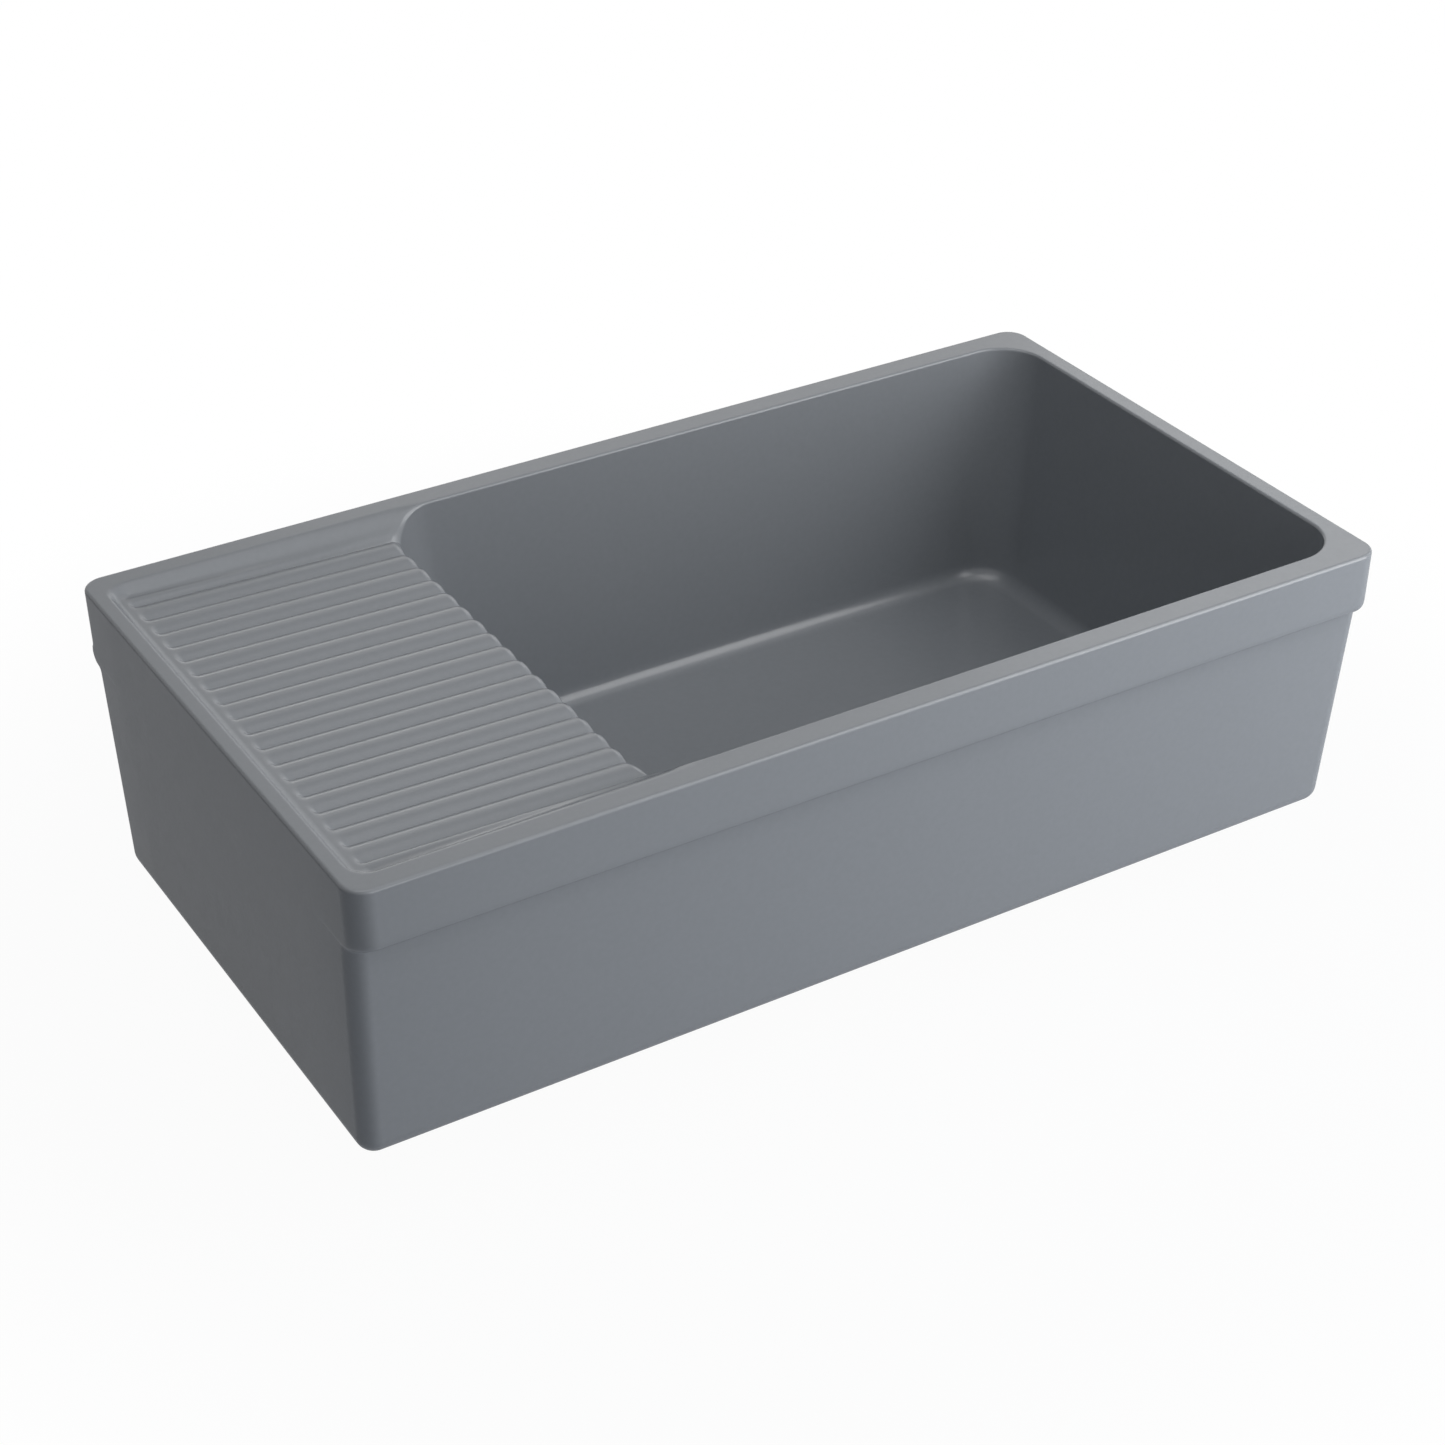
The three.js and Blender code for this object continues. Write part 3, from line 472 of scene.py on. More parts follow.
def mirrored(half):
    # lines from the front to the middle, the middle, and the same lines on to the back
    return np.concatenate([-half, [0], half[::-1]])


def topSurface():
    # One grid carries the drainboard, the bowl, its floor and the drain's recess. Its lines run along X and
    # Y, except that rings of cells follow the bowl's outline and circles follow the drain.
    margin, wallHeight, edgeCount = bowlRings()
    circles, floorThere = drainRings()
    lean = np.clip((wallTop - wallHeight) / (wallTop - c["floor"]), 0, 1)
    ringCount, circleCount = len(margin), len(circles)
    radius = c["bowlCorner"] + margin
    left = bowlLeft + c["leanBoard"] * lean - margin
    right = bowlRight - c["leanEnd"] * lean + margin
    side = bowlSide - c["leanSides"] * lean + margin
    cornerLeft, cornerRight = left + radius * diagonal, right - radius * diagonal
    cornerSide = side - radius * diagonal
    circleSide = circles[:, 0] * math.sqrt(0.5)

    # lines across the board, from its front edge to the middle
    stepShares = np.array([-0.08, 0, 0.1, 0.22, 0.35, 0.5, 0.65, 0.8, 1])
    stepLines = boardSide - stepShares * c["boardStep"]
    ribShares = np.array([0, 0.5, 1.5, 3, 5, 7.3, 9.6]) / 12.05 * (ribPitch / 2)
    grooves = outerGroove - ribPitch * np.arange(1, c["grooves"] // 2)[:, None]
    ribLines = np.hstack([grooves + ribShares, grooves - ribShares[1:], grooves + ribPitch / 2]).ravel()
    ribLines = np.sort(ribLines[(ribLines < cornerSide[-1] - 0.8) & (ribLines > 0.2)])[::-1]
    # the same lines across the bowl's floor
    holeSteps = 12
    holeTurn = np.arange(holeSteps - 1, 0, -1) / holeSteps * math.pi / 4
    holeSide = circleSide[-1] * np.sin(holeTurn) / math.sin(math.pi / 4)
    floorCount = len(ribLines) - circleCount - len(holeSide)
    floorLines = np.linspace(cornerSide[-1], circleSide[0], floorCount + 2)[1:-1]
    boardY = mirrored(np.concatenate([stepLines, cornerSide, ribLines]))
    bowlY = mirrored(np.concatenate([stepLines, cornerSide, floorLines, circleSide, holeSide]))

    # lines along the board, as margins left of the bowl, then the rings, floor, drain and rings again
    runShares = np.array([-0.4, -0.15, 0, 0.15, 0.3, 0.45, 0.6, 0.75, 0.9, 1.05, 1.5])
    runIn = c["grooveStart"] + c["grooveRunIn"] * runShares
    toBowl = [195, 165, 135, 108, 84, 64, 48, 36, 27, 20.5, 16, 13, 10.8, 9.2, 8, 7.2, 6.4]
    xStart = np.concatenate([boardLeft + stepShares * c["boardStepLeft"], boardLeft + runIn,
                             bowlLeft - np.array(toBowl)])
    floorSteps = 16
    toDrain = np.linspace(cornerLeft[-1], drainX - circleSide[0], floorSteps + 2)[1:-1]
    fromDrain = np.linspace(drainX + circleSide[0], cornerRight[-1], floorSteps + 2)[1:-1]
    atDrain = drainX + mirrored(np.concatenate([circleSide, holeSide]))
    xLines = np.concatenate([xStart, cornerLeft, toDrain, atDrain, fromDrain, cornerRight[::-1]])
    nx, ny = len(xLines), len(boardY)

    i, j = np.meshgrid(np.arange(nx), np.arange(ny), indexing="ij")
    firstRing, lastRing = len(xStart), nx - 1
    firstY = len(stepLines)
    lastY = ny - 1 - firstY
    x = np.broadcast_to(xLines[:, None], (nx, ny)).copy()
    sign = np.where(j < ny // 2, -1, 1)

    # rings: each point is on the left, right, front or back of its ring
    ringX = np.minimum(i - firstRing, lastRing - i)
    ringY = np.minimum(j - firstY, lastY - j)
    ring = np.clip(np.minimum(ringX, ringY), 0, ringCount - 1)
    inRings = (i >= firstRing) & (ringY >= 0) & (np.minimum(ringX, ringY) < ringCount)
    settle = np.clip((ring - edgeCount) / (ringCount - 1 - edgeCount), 0, 1)
    leftHalf = i < (firstRing + lastRing) / 2
    settling = leftHalf & (i >= firstRing) & (ringY >= 0)
    y = np.where(settling, boardY[j] + (bowlY[j] - boardY[j]) * settle, bowlY[j])
    y = np.where(i < firstRing, boardY[j], y)
    bow, coreSide = radius[ring], (side - radius)[ring]
    coreLeft, coreRight = (left + radius)[ring], (right - radius)[ring]
    bulge = halfChord(bow, np.maximum(np.abs(y) - coreSide, 0))
    onEnds = inRings & (ringX < ringY)
    x = np.where(onEnds, np.where(leftHalf, coreLeft - bulge, coreRight + bulge), x)
    pastCore = np.maximum(np.maximum(coreLeft - x, x - coreRight), 0)
    onSides = inRings & ~onEnds
    y = np.where(onSides, sign * (coreSide + halfChord(bow, pastCore)), y)

    # board lines near the bowl follow its outline, and step lines before and behind the bowl close up
    boardMargin = bowlLeft - xLines[:, None]
    reach = c["bowlCorner"] + np.maximum(boardMargin, margin[0])
    arc = np.clip(np.abs(boardY[None, :]), None, cornerSide[0]) - (bowlSide - c["bowlCorner"])
    bend = (reach - halfChord(reach, np.maximum(arc, 0))) * (1 - smooth(boardMargin, 10, 75))
    x = np.where(i < firstRing, x + bend, x)
    outside = (i >= firstRing) & (ringY < 0)
    nearSide = side[0] - radius[0] + halfChord(radius[0], np.maximum(left[0] + radius[0] - x, 0))
    share = (np.abs(boardY[j]) - cornerSide[0]) / (stepLines[0] - cornerSide[0])
    y = np.where(outside, sign * (nearSide + (stepLines[0] - nearSide) * share), y)

    # circles round the drain, and floor lines that open out round them
    drainStartX, drainStartY = firstRing + ringCount + floorSteps, firstY + ringCount + floorCount
    drainEndX, drainEndY = nx - 1 - ringCount - floorSteps, ny - 1 - drainStartY
    circleX = np.minimum(i - drainStartX, drainEndX - i)
    circleY = np.minimum(j - drainStartY, drainEndY - j)
    circle = np.minimum(circleX, circleY)
    inDrain = circle >= 0
    here = np.clip(circle, 0, circleCount - 1)
    fromAxis = x - drainX
    onEndsOfDrain = inDrain & (circleX < circleY)
    x = np.where(onEndsOfDrain, drainX + np.sign(fromAxis) * halfChord(circles[here, 0], y), x)
    y = np.where(inDrain & ~onEndsOfDrain, sign * halfChord(circles[here, 0], fromAxis), y)
    onFloor = (np.minimum(ringX, ringY) >= ringCount) & ~inDrain
    spanX = np.clip(1 + circleX / floorSteps, 0, 1)
    spanY = np.clip(1 + circleY / floorCount, 0, 1)
    openX = np.maximum(halfChord(circles[0, 0], y) - circleSide[0], 0)
    openY = np.maximum(halfChord(circles[0, 0], fromAxis) - circleSide[0], 0)
    besideX = onFloor & (circleX < 0) & (circleY >= 0)
    besideY = onFloor & (circleY < 0) & (circleX >= 0)
    x = np.where(besideX, x + np.sign(fromAxis) * openX * spanX, x)
    y = np.where(besideY, y + sign * openY * spanY, y)

    # the bowl's wall: every ring point goes back to the rim's outline and leans in with its depth
    coreX, coreY = np.clip(x, coreLeft, coreRight), np.clip(y, -coreSide, coreSide)
    outX, outY = (x - coreX) / bow, (y - coreY) / bow
    rimLeft, rimRight = bowlLeft + c["bowlCorner"], bowlRight - c["bowlCorner"]
    rimSide = bowlSide - c["bowlCorner"]
    along = (coreX - coreLeft) / (coreRight - coreLeft)
    rimX, rimY = rimLeft + along * (rimRight - rimLeft), coreY * rimSide / coreSide
    top = topHeight(rimX + outX * c["bowlCorner"], rimY + outY * c["bowlCorner"])
    down = np.clip((wallTop - wallHeight[ring]) / (wallTop - curveFoot), 0, 1)
    z = np.where(wallHeight[ring] < curveFoot, wallHeight[ring], top + (curveFoot - top) * down)
    leanThere = np.clip((wallTop - z) / (wallTop - c["floor"]), 0, 1)
    drift = c["leanBoard"] - (c["leanBoard"] + c["leanEnd"]) * along
    onWall = inRings & (ring >= edgeCount)
    x = np.where(onWall, rimX + leanThere * drift + outX * bow, x)
    y = np.where(onWall, rimY * (1 - leanThere * c["leanSides"] / rimSide) + outY * bow, y)
    z = np.where(onWall, z, topHeight(x, y))
    z = np.where(onFloor, floorHeight(x, y), z)
    fade = np.clip(1 - circle / 2, 0, 1)
    z = np.where(inDrain, circles[here, 1] + (floorHeight(x, y) - floorThere) * fade, z)

    # the rim before and behind the bowl is filled flat from cutX on, and the drain hole stays open
    quads = gridQuads(nx, ny).reshape(nx - 1, ny - 1, 4)[:, :, ::-1]
    cutX = firstRing + ringCount + 1
    low, high = drainStartX + circleCount - 1, drainEndX - circleCount + 1
    near, far = drainStartY + circleCount - 1, drainEndY - circleCount + 1
    cellX, cellY = np.meshgrid(np.arange(nx - 1), np.arange(ny - 1), indexing="ij")
    flatRim = (cellX >= cutX) & ((cellY < firstY) | (cellY >= lastY))
    inHole = (cellX >= low) & (cellX < high) & (cellY >= near) & (cellY < far)
    points = np.stack([x, y, z], axis=2)

    def path(cells):
        return np.vstack([points[a, b].reshape(-1, 3) for a, b in cells])

    def run(first, last):
        return np.arange(first, last, 1 if last > first else -1)

    border = path([(run(0, cutX), 0), (cutX, run(0, firstY)), (run(cutX, lastRing), firstY),
                   (lastRing, run(firstY, lastY)), (run(lastRing, cutX), lastY), (cutX, run(lastY, ny - 1)),
                   (run(cutX, 0), ny - 1), (0, run(ny - 1, 0))])
    hole = path([(run(low, high), near), (high, run(near, far)),
                 (run(high, low), far), (low, run(far, near))])
    return (points.reshape(-1, 3), quads[~flatRim & ~inHole]), border, hole


def roundedLoop(left, right, front, back, radius, height, cornerSteps=12, sideSteps=8):
    # a level rectangle with round corners, anticlockwise from above, with points along its sides
    corners = [(right - radius, back - radius), (left + radius, back - radius),
               (left + radius, front + radius), (right - radius, front + radius)]
    arcs = []
    for number, (centreX, centreY) in enumerate(corners):
        angle = (number + np.linspace(0, 1, cornerSteps + 1)) * math.pi / 2
        arcs.append(np.column_stack([centreX + radius * np.cos(angle), centreY + radius * np.sin(angle)]))
    parts = []
    for arc, following in zip(arcs, arcs[1:] + arcs[:1]):
        share = np.linspace(0, 1, sideSteps + 1)[1:-1, None]
        parts += [arc, arc[-1] + (following[0] - arc[-1]) * share]
    flat = np.vstack(parts)
    return np.column_stack([flat, np.full(len(flat), height)])


def bodyInset(z):
    # how far the front and back faces stand behind their bands: in proportion to height, from foot to rim
    return c["insetAtFoot"] + (c["insetAtRim"] - c["insetAtFoot"]) * z / rim


def endInset(z):
    # the ends' lean: nothing at the rim, and in proportion to the depth below it
    return c["endDraft"] * (1 - z / rim)


def shellLevels():
    # edge inset and height of each of the outside's loops, from the foot up, close together on every curve
    foot, top, strip = c["footEdge"], c["topEdge"], c["flatStrip"]
    curves = [roundCorner(0, 0, foot, foot), roundCorner(0, rim, top, -top)]
    for lip in (rim - c["frontBand"], rim - c["backBand"]):
        curves += [roundCorner(0, lip, 0, -c["lipHollow"])[1:], roundCorner(0, lip, 0, c["bandLip"])]
    plain = (foot + 1, 60, 110, 150, 175, rim - c["frontBand"] + c["bandLip"] + 2, 230, rim - top - 1)
    levels = np.vstack([*curves, *[(0, z) for z in plain]])
    levels = levels[np.argsort(levels[:, 1], kind="stable")]
    return np.vstack([(foot + strip, 0), levels, (top + strip, rim)])


def bandOut(z, bandHeight):
    # 0 on the body's face, 1 on the band's: a hollow quarter ellipse out to the lip, then a quarter round
    lip = rim - bandHeight
    hollow = np.clip((z - lip) / c["lipHollow"] + 1, 0, 1)
    share = np.clip((z - lip) / c["bandLip"], 0, 1)
    inner = c["lipHollowOut"]
    return inner * (1 - math.sqrt(1 - hollow ** 2)) + (1 - inner) * math.sqrt(1 - (1 - share) ** 2)


def shellLoop(edge, z):
    # the outside's outline at a height: a rounded rectangle, drawn in by the edge, the lean and the insets
    frontOut, backOut = bandOut(z, c["frontBand"]), bandOut(z, c["backBand"])
    ends = endInset(z) + edge
    return roundedLoop(-halfLength + ends, halfLength - ends,
                       -halfWidth + bodyInset(z) * (1 - frontOut) + edge,
                       halfWidth - bodyInset(z) * (1 - backOut) - edge,
                       c["bodyCorner"] + (c["bandCorner"] - c["bodyCorner"]) * frontOut - edge, z)


def hollowLoop(margin, z):
    # the hollow's outline: the casting's and the bowl's at that height, drawn in by the wall's thickness
    side = halfWidth - bodyInset(z) - c["hollowWall"] + margin
    return roundedLoop(-halfLength + endInset(z) + c["hollowWall"] - margin,
                       bowlLeft + c["leanBoard"] * (1 - z / rim) - c["hollowWall"] + margin,
                       -side, side, c["hollowCorner"] + margin, z, cornerSteps=8)


def makeCasting():
    topPatch, border, hole = topSurface()
    shell = [shellLoop(edge, z) for edge, z in shellLevels()]
    deepest = c["boardDrop"] + c["boardFall"] + c["grooveDepth"] + c["grooveDeepening"]
    ceiling, mouth, corner = rim - deepest - c["hollowCeiling"], c["hollowMouthEdge"], c["hollowCorner"]
    profile = [*roundCorner(0, 0, mouth, mouth, 6), (0, 70), (0, 140),
               *roundCorner(0, ceiling, -c["hollowRoundIn"] * corner, -corner, 6)[::-1]]
    hollow = [hollowLoop(margin, z) for margin, z in profile]
    # the bore goes down from the hole's edge to the gasket's recess, with small rounds at each turn
    outward = (hole[:, :2] - (drainX, 0)) / np.hypot(hole[:, 0] - drainX, hole[:, 1])[:, None]
    drain, seat, depth, edge = c["drainHole"], c["gasketSeat"], c["gasketSeatDepth"], c["boreEdge"]
    levels = [(drain, 12), *roundCorner(drain, depth, edge, edge, 6)[::-1],
              *roundCorner(seat, depth, -edge, -edge, 6), *roundCorner(seat, 0, edge, edge, 6)[::-1]]
    bore = [hole] + [np.column_stack([(drainX, 0) + outward * r, np.full(len(hole), z)]) for r, z in levels]
    patches = [
        topPatch,
        band(shell),
        band(hollow),
        band(bore),
        flatFill(shell[-1], [border], rim),
        flatFill(shell[0], [hollow[0], bore[-1]], 0.0),
        flatFill(hollow[-1], [], float(hollow[-1][0, 2])),
    ]
    unglazed = (2, 5, 6)  # the hollow, the foot and the hollow's ceiling
    piece = makePiece("basin_glazed", patches, marked=unglazed)
    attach(piece, "sink")
    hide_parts("sink_basin")
    return piece


# The strainer's pieces are turned shapes round the drain's axis.
strainer = {
    "gap": 0.3,  # between pieces that touch
    "cup": 43,  # outside of the threaded cup, and its bore
    "cupBore": 41,
    "outlet": 23,
    "outletBore": 20,
    "post": 3,
    "steps": 180,  # facets round a wide turned piece
    "slimSteps": 72,
}
s = strainer
onPost = s["post"] + s["gap"]
onCup = s["cup"] + s["gap"]


def nodeSize(name):
    # outer radius, lowest and highest level of a turned node, in millimetres
    low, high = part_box(name)
    return (high[0] - low[0]) / 2 / millimetre, low[2] / millimetre, high[2] / millimetre


def turnAngles(count):
    return np.arange(count) * 2 * math.pi / count


def rounded(corners, closed=True, steps=5):
    # a profile through corners of radius, height and fillet: each fillet is an arc that touches both sides
    flat = np.array([corner[:2] for corner in corners], dtype=float)
    last = len(corners) - 1
    points = []
    for number, corner in enumerate(corners):
        fillet = corner[2]
        here = flat[number]
        if not fillet or (not closed and number in (0, last)):
            points.append(here[None])
            continue
        before, after = flat[number - 1] - here, flat[(number + 1) % len(flat)] - here
        before, after = before / np.hypot(*before), after / np.hypot(*after)
        half = math.acos(np.clip(before @ after, -1, 1)) / 2
        middle = (before + after) / np.hypot(*(before + after))
        centre = here + middle * fillet / math.sin(half)
        start, end = (here + side * fillet / math.tan(half) - centre for side in (before, after))
        first = math.atan2(start[1], start[0])
        sweep = (math.atan2(end[1], end[0]) - first + math.pi) % (2 * math.pi) - math.pi
        angle = first + sweep * np.linspace(0, 1, steps)
        points.append(centre + fillet * np.column_stack([np.cos(angle), np.sin(angle)]))
    profile = np.vstack(points)
    return np.vstack([profile, profile[:1]]) if closed else profile


def spin(profile, angles, change=0.0):
    # the profile's radius, plus any change to it, carried round the axis: x = axis + r cos t, y = r sin t
    radius = profile[:, :1] + change + 0 * angles[None]
    height = profile[:, 1:2] + 0 * radius
    return np.stack([drainX + radius * np.cos(angles), radius * np.sin(angles), height], axis=2)


def turnedPatch(profile, angles=None, change=0.0):
    # the profile spun in equal steps, or in the angles given
    angles = turnAngles(s["steps"]) if angles is None else angles
    return band(spin(profile, angles, change))


def threadCut(profile, angles, radius, low, high, pitch, depth):
    # depth cut from rows at the given radius by a screw thread: a triangle wave of height / pitch - turns
    rows = (np.abs(profile[:, 0] - radius) < 0.01) & (profile[:, 1] > low) & (profile[:, 1] < high)
    runOut = smooth(profile[:, 1], low, low + pitch) * (1 - smooth(profile[:, 1], high - pitch, high))
    phase = profile[:, 1:2] / pitch - angles[None] / (2 * math.pi)
    wave = np.clip(1.3 * np.abs(2 * np.mod(phase, 1) - 1) - 0.15, 0, 1)
    return -depth * wave * (rows * runOut)[:, None]


def lugAngles(count, halfWidth, radius, flank):
    # angles round a nut, close together at the sides of each lug
    offsets = np.array([0, 0.5, 0.9, 1, 1 + flank / 3, 1 + flank * 0.67, 1 + flank, 1.1 + flank])
    lug = offsets * halfWidth / radius
    pitch = 2 * math.pi / count
    between = np.linspace(lug[-1], pitch / 2, 7)[1:]
    half = np.concatenate([lug, between])
    sector = np.unique(np.concatenate([-half[:-1], half]))
    return (np.arange(count)[:, None] * pitch + sector).ravel()


def lugShape(angles, count, halfWidth, radius, flank):
    # 1 on a lug's crown and 0 between lugs, with smooth flanks
    pitch = 2 * math.pi / count
    across = np.abs((angles + pitch / 2) % pitch - pitch / 2) * radius / halfWidth
    return 1 - smooth(across, 1, 1 + flank)


def madePiece(name, body, patches, creaseAngle=35):
    piece = makePiece(name + "_fine", patches, creaseAngle)
    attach(piece, body)
    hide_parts(name)
    return piece


def turnedPiece(name, body, profile, angles=None, change=0.0):
    return madePiece(name, body, [turnedPatch(profile, angles, change)])


def luggedNut(name, rows, shape):
    # each row is a radius, a height and the share of the way out to the lugs' reach that the radius grows
    reach = nodeSize(name)[0]
    table = np.array(rows)
    lugs = shape["lugs"], shape["lugWidth"] / 2, reach, shape["lugFlank"]
    angles = lugAngles(*lugs)
    grow = (reach - table[:, :1]) * table[:, 2:3] * lugShape(angles, *lugs)
    return turnedPiece(name, "sink", table[:, :2], angles, grow)


bodyShape = {
    "flangeThickness": 1.6,
    "flangeEdge": 0.7,
    "flangeFall": 5,  # depth over which the flange turns down into the cup
    "flangeDish": 0.5,
    "shoulder": 8,  # slope between the cup's wall and its floor
    "neckFlare": 3,
    "cupFloor": -35,
    "threadPitch": 2.2,
    "threadDepth": 0.75,
    "threadTop": 6,
}


def strainerBody():
    # One closed profile: up the outside from the outlet to the flange, and down the inside again.
    b = bodyShape
    flange, bottom, top = nodeSize("strainer_body")
    under = top - b["flangeThickness"]
    cupBottom = b["cupFloor"] - (s["cup"] - s["cupBore"])
    shoulder, neckTop = s["cup"] - b["shoulder"], cupBottom - b["neckFlare"]
    pitch, depth = b["threadPitch"], b["threadDepth"]
    rise, threadFoot = pitch / 6, cupBottom + b["shoulder"] + 1
    neckRows = [(s["outlet"], z, 0) for z in np.arange(bottom + 1.5, neckTop - 0.5, rise)]
    cupRows = [(s["cup"], z, 0) for z in np.arange(threadFoot + 1, b["threadTop"], rise)]
    profile = rounded([
        (s["outletBore"], bottom, 0.5), (s["outlet"], bottom, 0.6), *neckRows,
        (s["outlet"], neckTop, 1.5), (s["outlet"] + b["neckFlare"], cupBottom, 1.2),
        (shoulder, cupBottom, 2.5), (s["cup"], cupBottom + b["shoulder"], 2), *cupRows,
        (s["cup"], under, 1.3), (flange, under, 0.4), (flange, top - 0.3, b["flangeEdge"]),
        (flange - 6, top, 6), (s["cupBore"] + b["flangeFall"], top - b["flangeDish"], 3),
        (s["cupBore"], top - b["flangeFall"] - 1, 3), (s["cupBore"], b["cupFloor"] + b["shoulder"], 4),
        (shoulder - 0.8, b["cupFloor"], 4), (s["outletBore"] + 2, b["cupFloor"], 1.2),
        (s["outletBore"], b["cupFloor"] - 2, 1.2),
    ])
    angles = turnAngles(s["steps"])
    cut = threadCut(profile, angles, s["outlet"], bottom + 1, neckTop, pitch, depth)
    cut += threadCut(profile, angles, s["cup"], threadFoot, b["threadTop"], pitch, depth)
    return turnedPiece("strainer_body", "sink", profile, angles, cut)


def flatRing(inner, outer, low, high, edge):
    # a washer's section with rounded edges
    return rounded([(inner, low, edge), (outer, low, edge), (outer, high, edge), (inner, high, edge)])


puttyShape = {"clearOfCup": 3.5, "edge": 0.5, "wander": ((7, 1, 0.3), (17, 0, 0.2))}


def flangeSeal():
    # a flattened rope of putty; its outer edge wanders by two sine waves of a count, a phase and a height
    n = puttyShape
    outer, low, high = nodeSize("flange_seal")
    profile = flatRing(s["cup"] + n["clearOfCup"], outer - n["edge"], low, high, n["edge"])
    angles = turnAngles(s["steps"])
    wander = sum(height * np.sin(count * angles + phase) for count, phase, height in n["wander"])
    isOuter = profile[:, :1] > (s["cup"] + outer) / 2
    return turnedPiece("flange_seal", "sink", profile, angles, wander * isOuter)


def underGasket():
    # rubber ring that bulges a little where the nut squeezes it
    outer, low, high = nodeSize("under_gasket")
    profile = rounded([(onCup, low, 0.4), (outer - 0.5, low, 0.5), (outer, (low + high) / 2, 1.5),
                       (outer - 0.5, high, 0.5), (onCup, high, 0.4)])
    return turnedPiece("under_gasket", "sink", profile)


def frictionWasher():
    outer, low, high = nodeSize("friction_washer")
    return turnedPiece("friction_washer", "sink", flatRing(onCup, outer, low, high, 0.15))


lockNutShape = {
    "rim": 12,  # ring width outside the thread
    "flange": 2,
    "flangeHeight": 3,
    "lugs": 6,
    "lugWidth": 8,
    "lugFlank": 0.3,  # slope of a lug's sides, as a share of its half width
    "lugShort": 1,  # the lugs stop this far below the top
}


def lockNut():
    # cast ring whose radius grows to the lugs' reach where a lug stands, from its foot to near its top
    n = lockNutShape
    _, low, high = nodeSize("lock_nut")
    outer = s["cup"] + n["rim"]
    flange = outer + n["flange"]
    lugTop, under = high - n["lugShort"], high - n["flangeHeight"]
    rows = [
        (onCup, low + 0.8, 0), (onCup + 0.8, low, 0), (outer - 2, low, 0), (outer - 1.2, low, 0.9),
        (outer - 1, low + 0.7, 1), (outer - 0.5, low + 4, 1), (outer, under - 1.6, 1),
        (outer + 0.6, under - 0.6, 1), (flange - 0.2, under, 1), (flange, under + 0.3, 1),
        (flange, lugTop - 0.5, 1), (flange, lugTop, 0.86), (flange, lugTop + 0.001, 0),
        (flange, high - 0.4, 0), (flange - 0.4, high, 0), (onCup, high, 0), (onCup, low + 0.8, 0),
    ]
    return luggedNut("lock_nut", rows, n)


def couplingWasher():
    # nylon ring, bevelled where it centres in the nut
    outer, low, high = nodeSize("coupling_washer")
    bore = s["outletBore"] - 0.5
    profile = rounded([(bore, low, 0.3), (outer - 0.6, low, 0.3), (outer, low + 0.7, 0.3),
                       (outer, high, 0.2), (bore, high, 0.3)])
    return turnedPiece("coupling_washer", "sink", profile)


couplingNutShape = {"wall": 5.2, "floor": 2.5, "bevel": 1.5, "lugs": 8, "lugWidth": 5, "lugFlank": 0.4}


def couplingNut():
    # ribbed cap nut: the outside's radius grows to the ribs' reach where a rib stands
    n = couplingNutShape
    _, low, high = nodeSize("coupling_nut")
    thread, bore = s["outlet"] + s["gap"], s["outletBore"]
    outer, ribFoot, ribTop = thread + n["wall"], low + n["bevel"], high - n["bevel"]
    rows = [
        (bore, low + 0.4, 0), (bore + 0.4, low, 0), (outer - n["bevel"] - 0.3, low, 0),
        (outer - 0.3, ribFoot - 0.3, 0), (outer, ribFoot, 0), (outer, ribFoot + 0.001, 0.7),
        (outer, ribFoot + 0.8, 1), (outer, (low + high) / 2, 1), (outer, ribTop - 0.8, 1),
        (outer, ribTop, 0.7), (outer, ribTop + 0.001, 0), (outer, high - 0.4, 0), (outer - 0.4, high, 0),
        (thread + 0.6, high, 0), (thread, high - 0.6, 0), (thread, low + n["floor"], 0),
        (bore, low + n["floor"], 0), (bore, low + 0.4, 0),
    ]
    return luggedNut("coupling_nut", rows, n)


crossShape = {"rim": 2.4, "hub": 7.5, "hubBore": 4.3, "spokes": 4, "spokeWidth": 3.2, "lap": 1}


def spoke(inner, outer, width, low, high, angle):
    # a bar whose section is a rounded box: a superellipse of the fourth power
    turn = turnAngles(24)
    across = np.sign(np.cos(turn)) * np.abs(np.cos(turn)) ** 0.5 * width / 2
    up = (low + high) / 2 + np.sign(np.sin(turn)) * np.abs(np.sin(turn)) ** 0.5 * (high - low) / 2
    out = np.linspace(inner, outer, 6)[:, None] + 0 * across
    x = out * math.cos(angle) - across * math.sin(angle)
    y = out * math.sin(angle) + across * math.cos(angle)
    loops = np.stack([drainX + x, y, up + 0 * x], axis=2)
    ends = [(loop, np.arange(len(turn))[None]) for loop in (loops[0], loops[-1])]
    return [band(loops), *ends]


def strainerCross():
    # a rim, a hub and the spokes between them, which lap a little into both
    n = crossShape
    outer, low, high = nodeSize("strainer_cross")
    angles = turnAngles(s["slimSteps"])
    patches = [turnedPatch(flatRing(outer - n["rim"], outer, low, high, 0.6), angles),
               turnedPatch(flatRing(n["hubBore"], n["hub"], low, high, 0.7), angles)]
    start, end = n["hub"] - n["lap"], outer - n["rim"] + n["lap"]
    for angle in turnAngles(n["spokes"]):
        patches += spoke(start, end, n["spokeWidth"], low + 0.1, high - 0.1, angle)
    return madePiece("strainer_cross", "sink", patches)


clipShape = {"wall": 0.7, "collarHeight": 1, "slit": 1.2, "slitAngle": math.pi / 5}


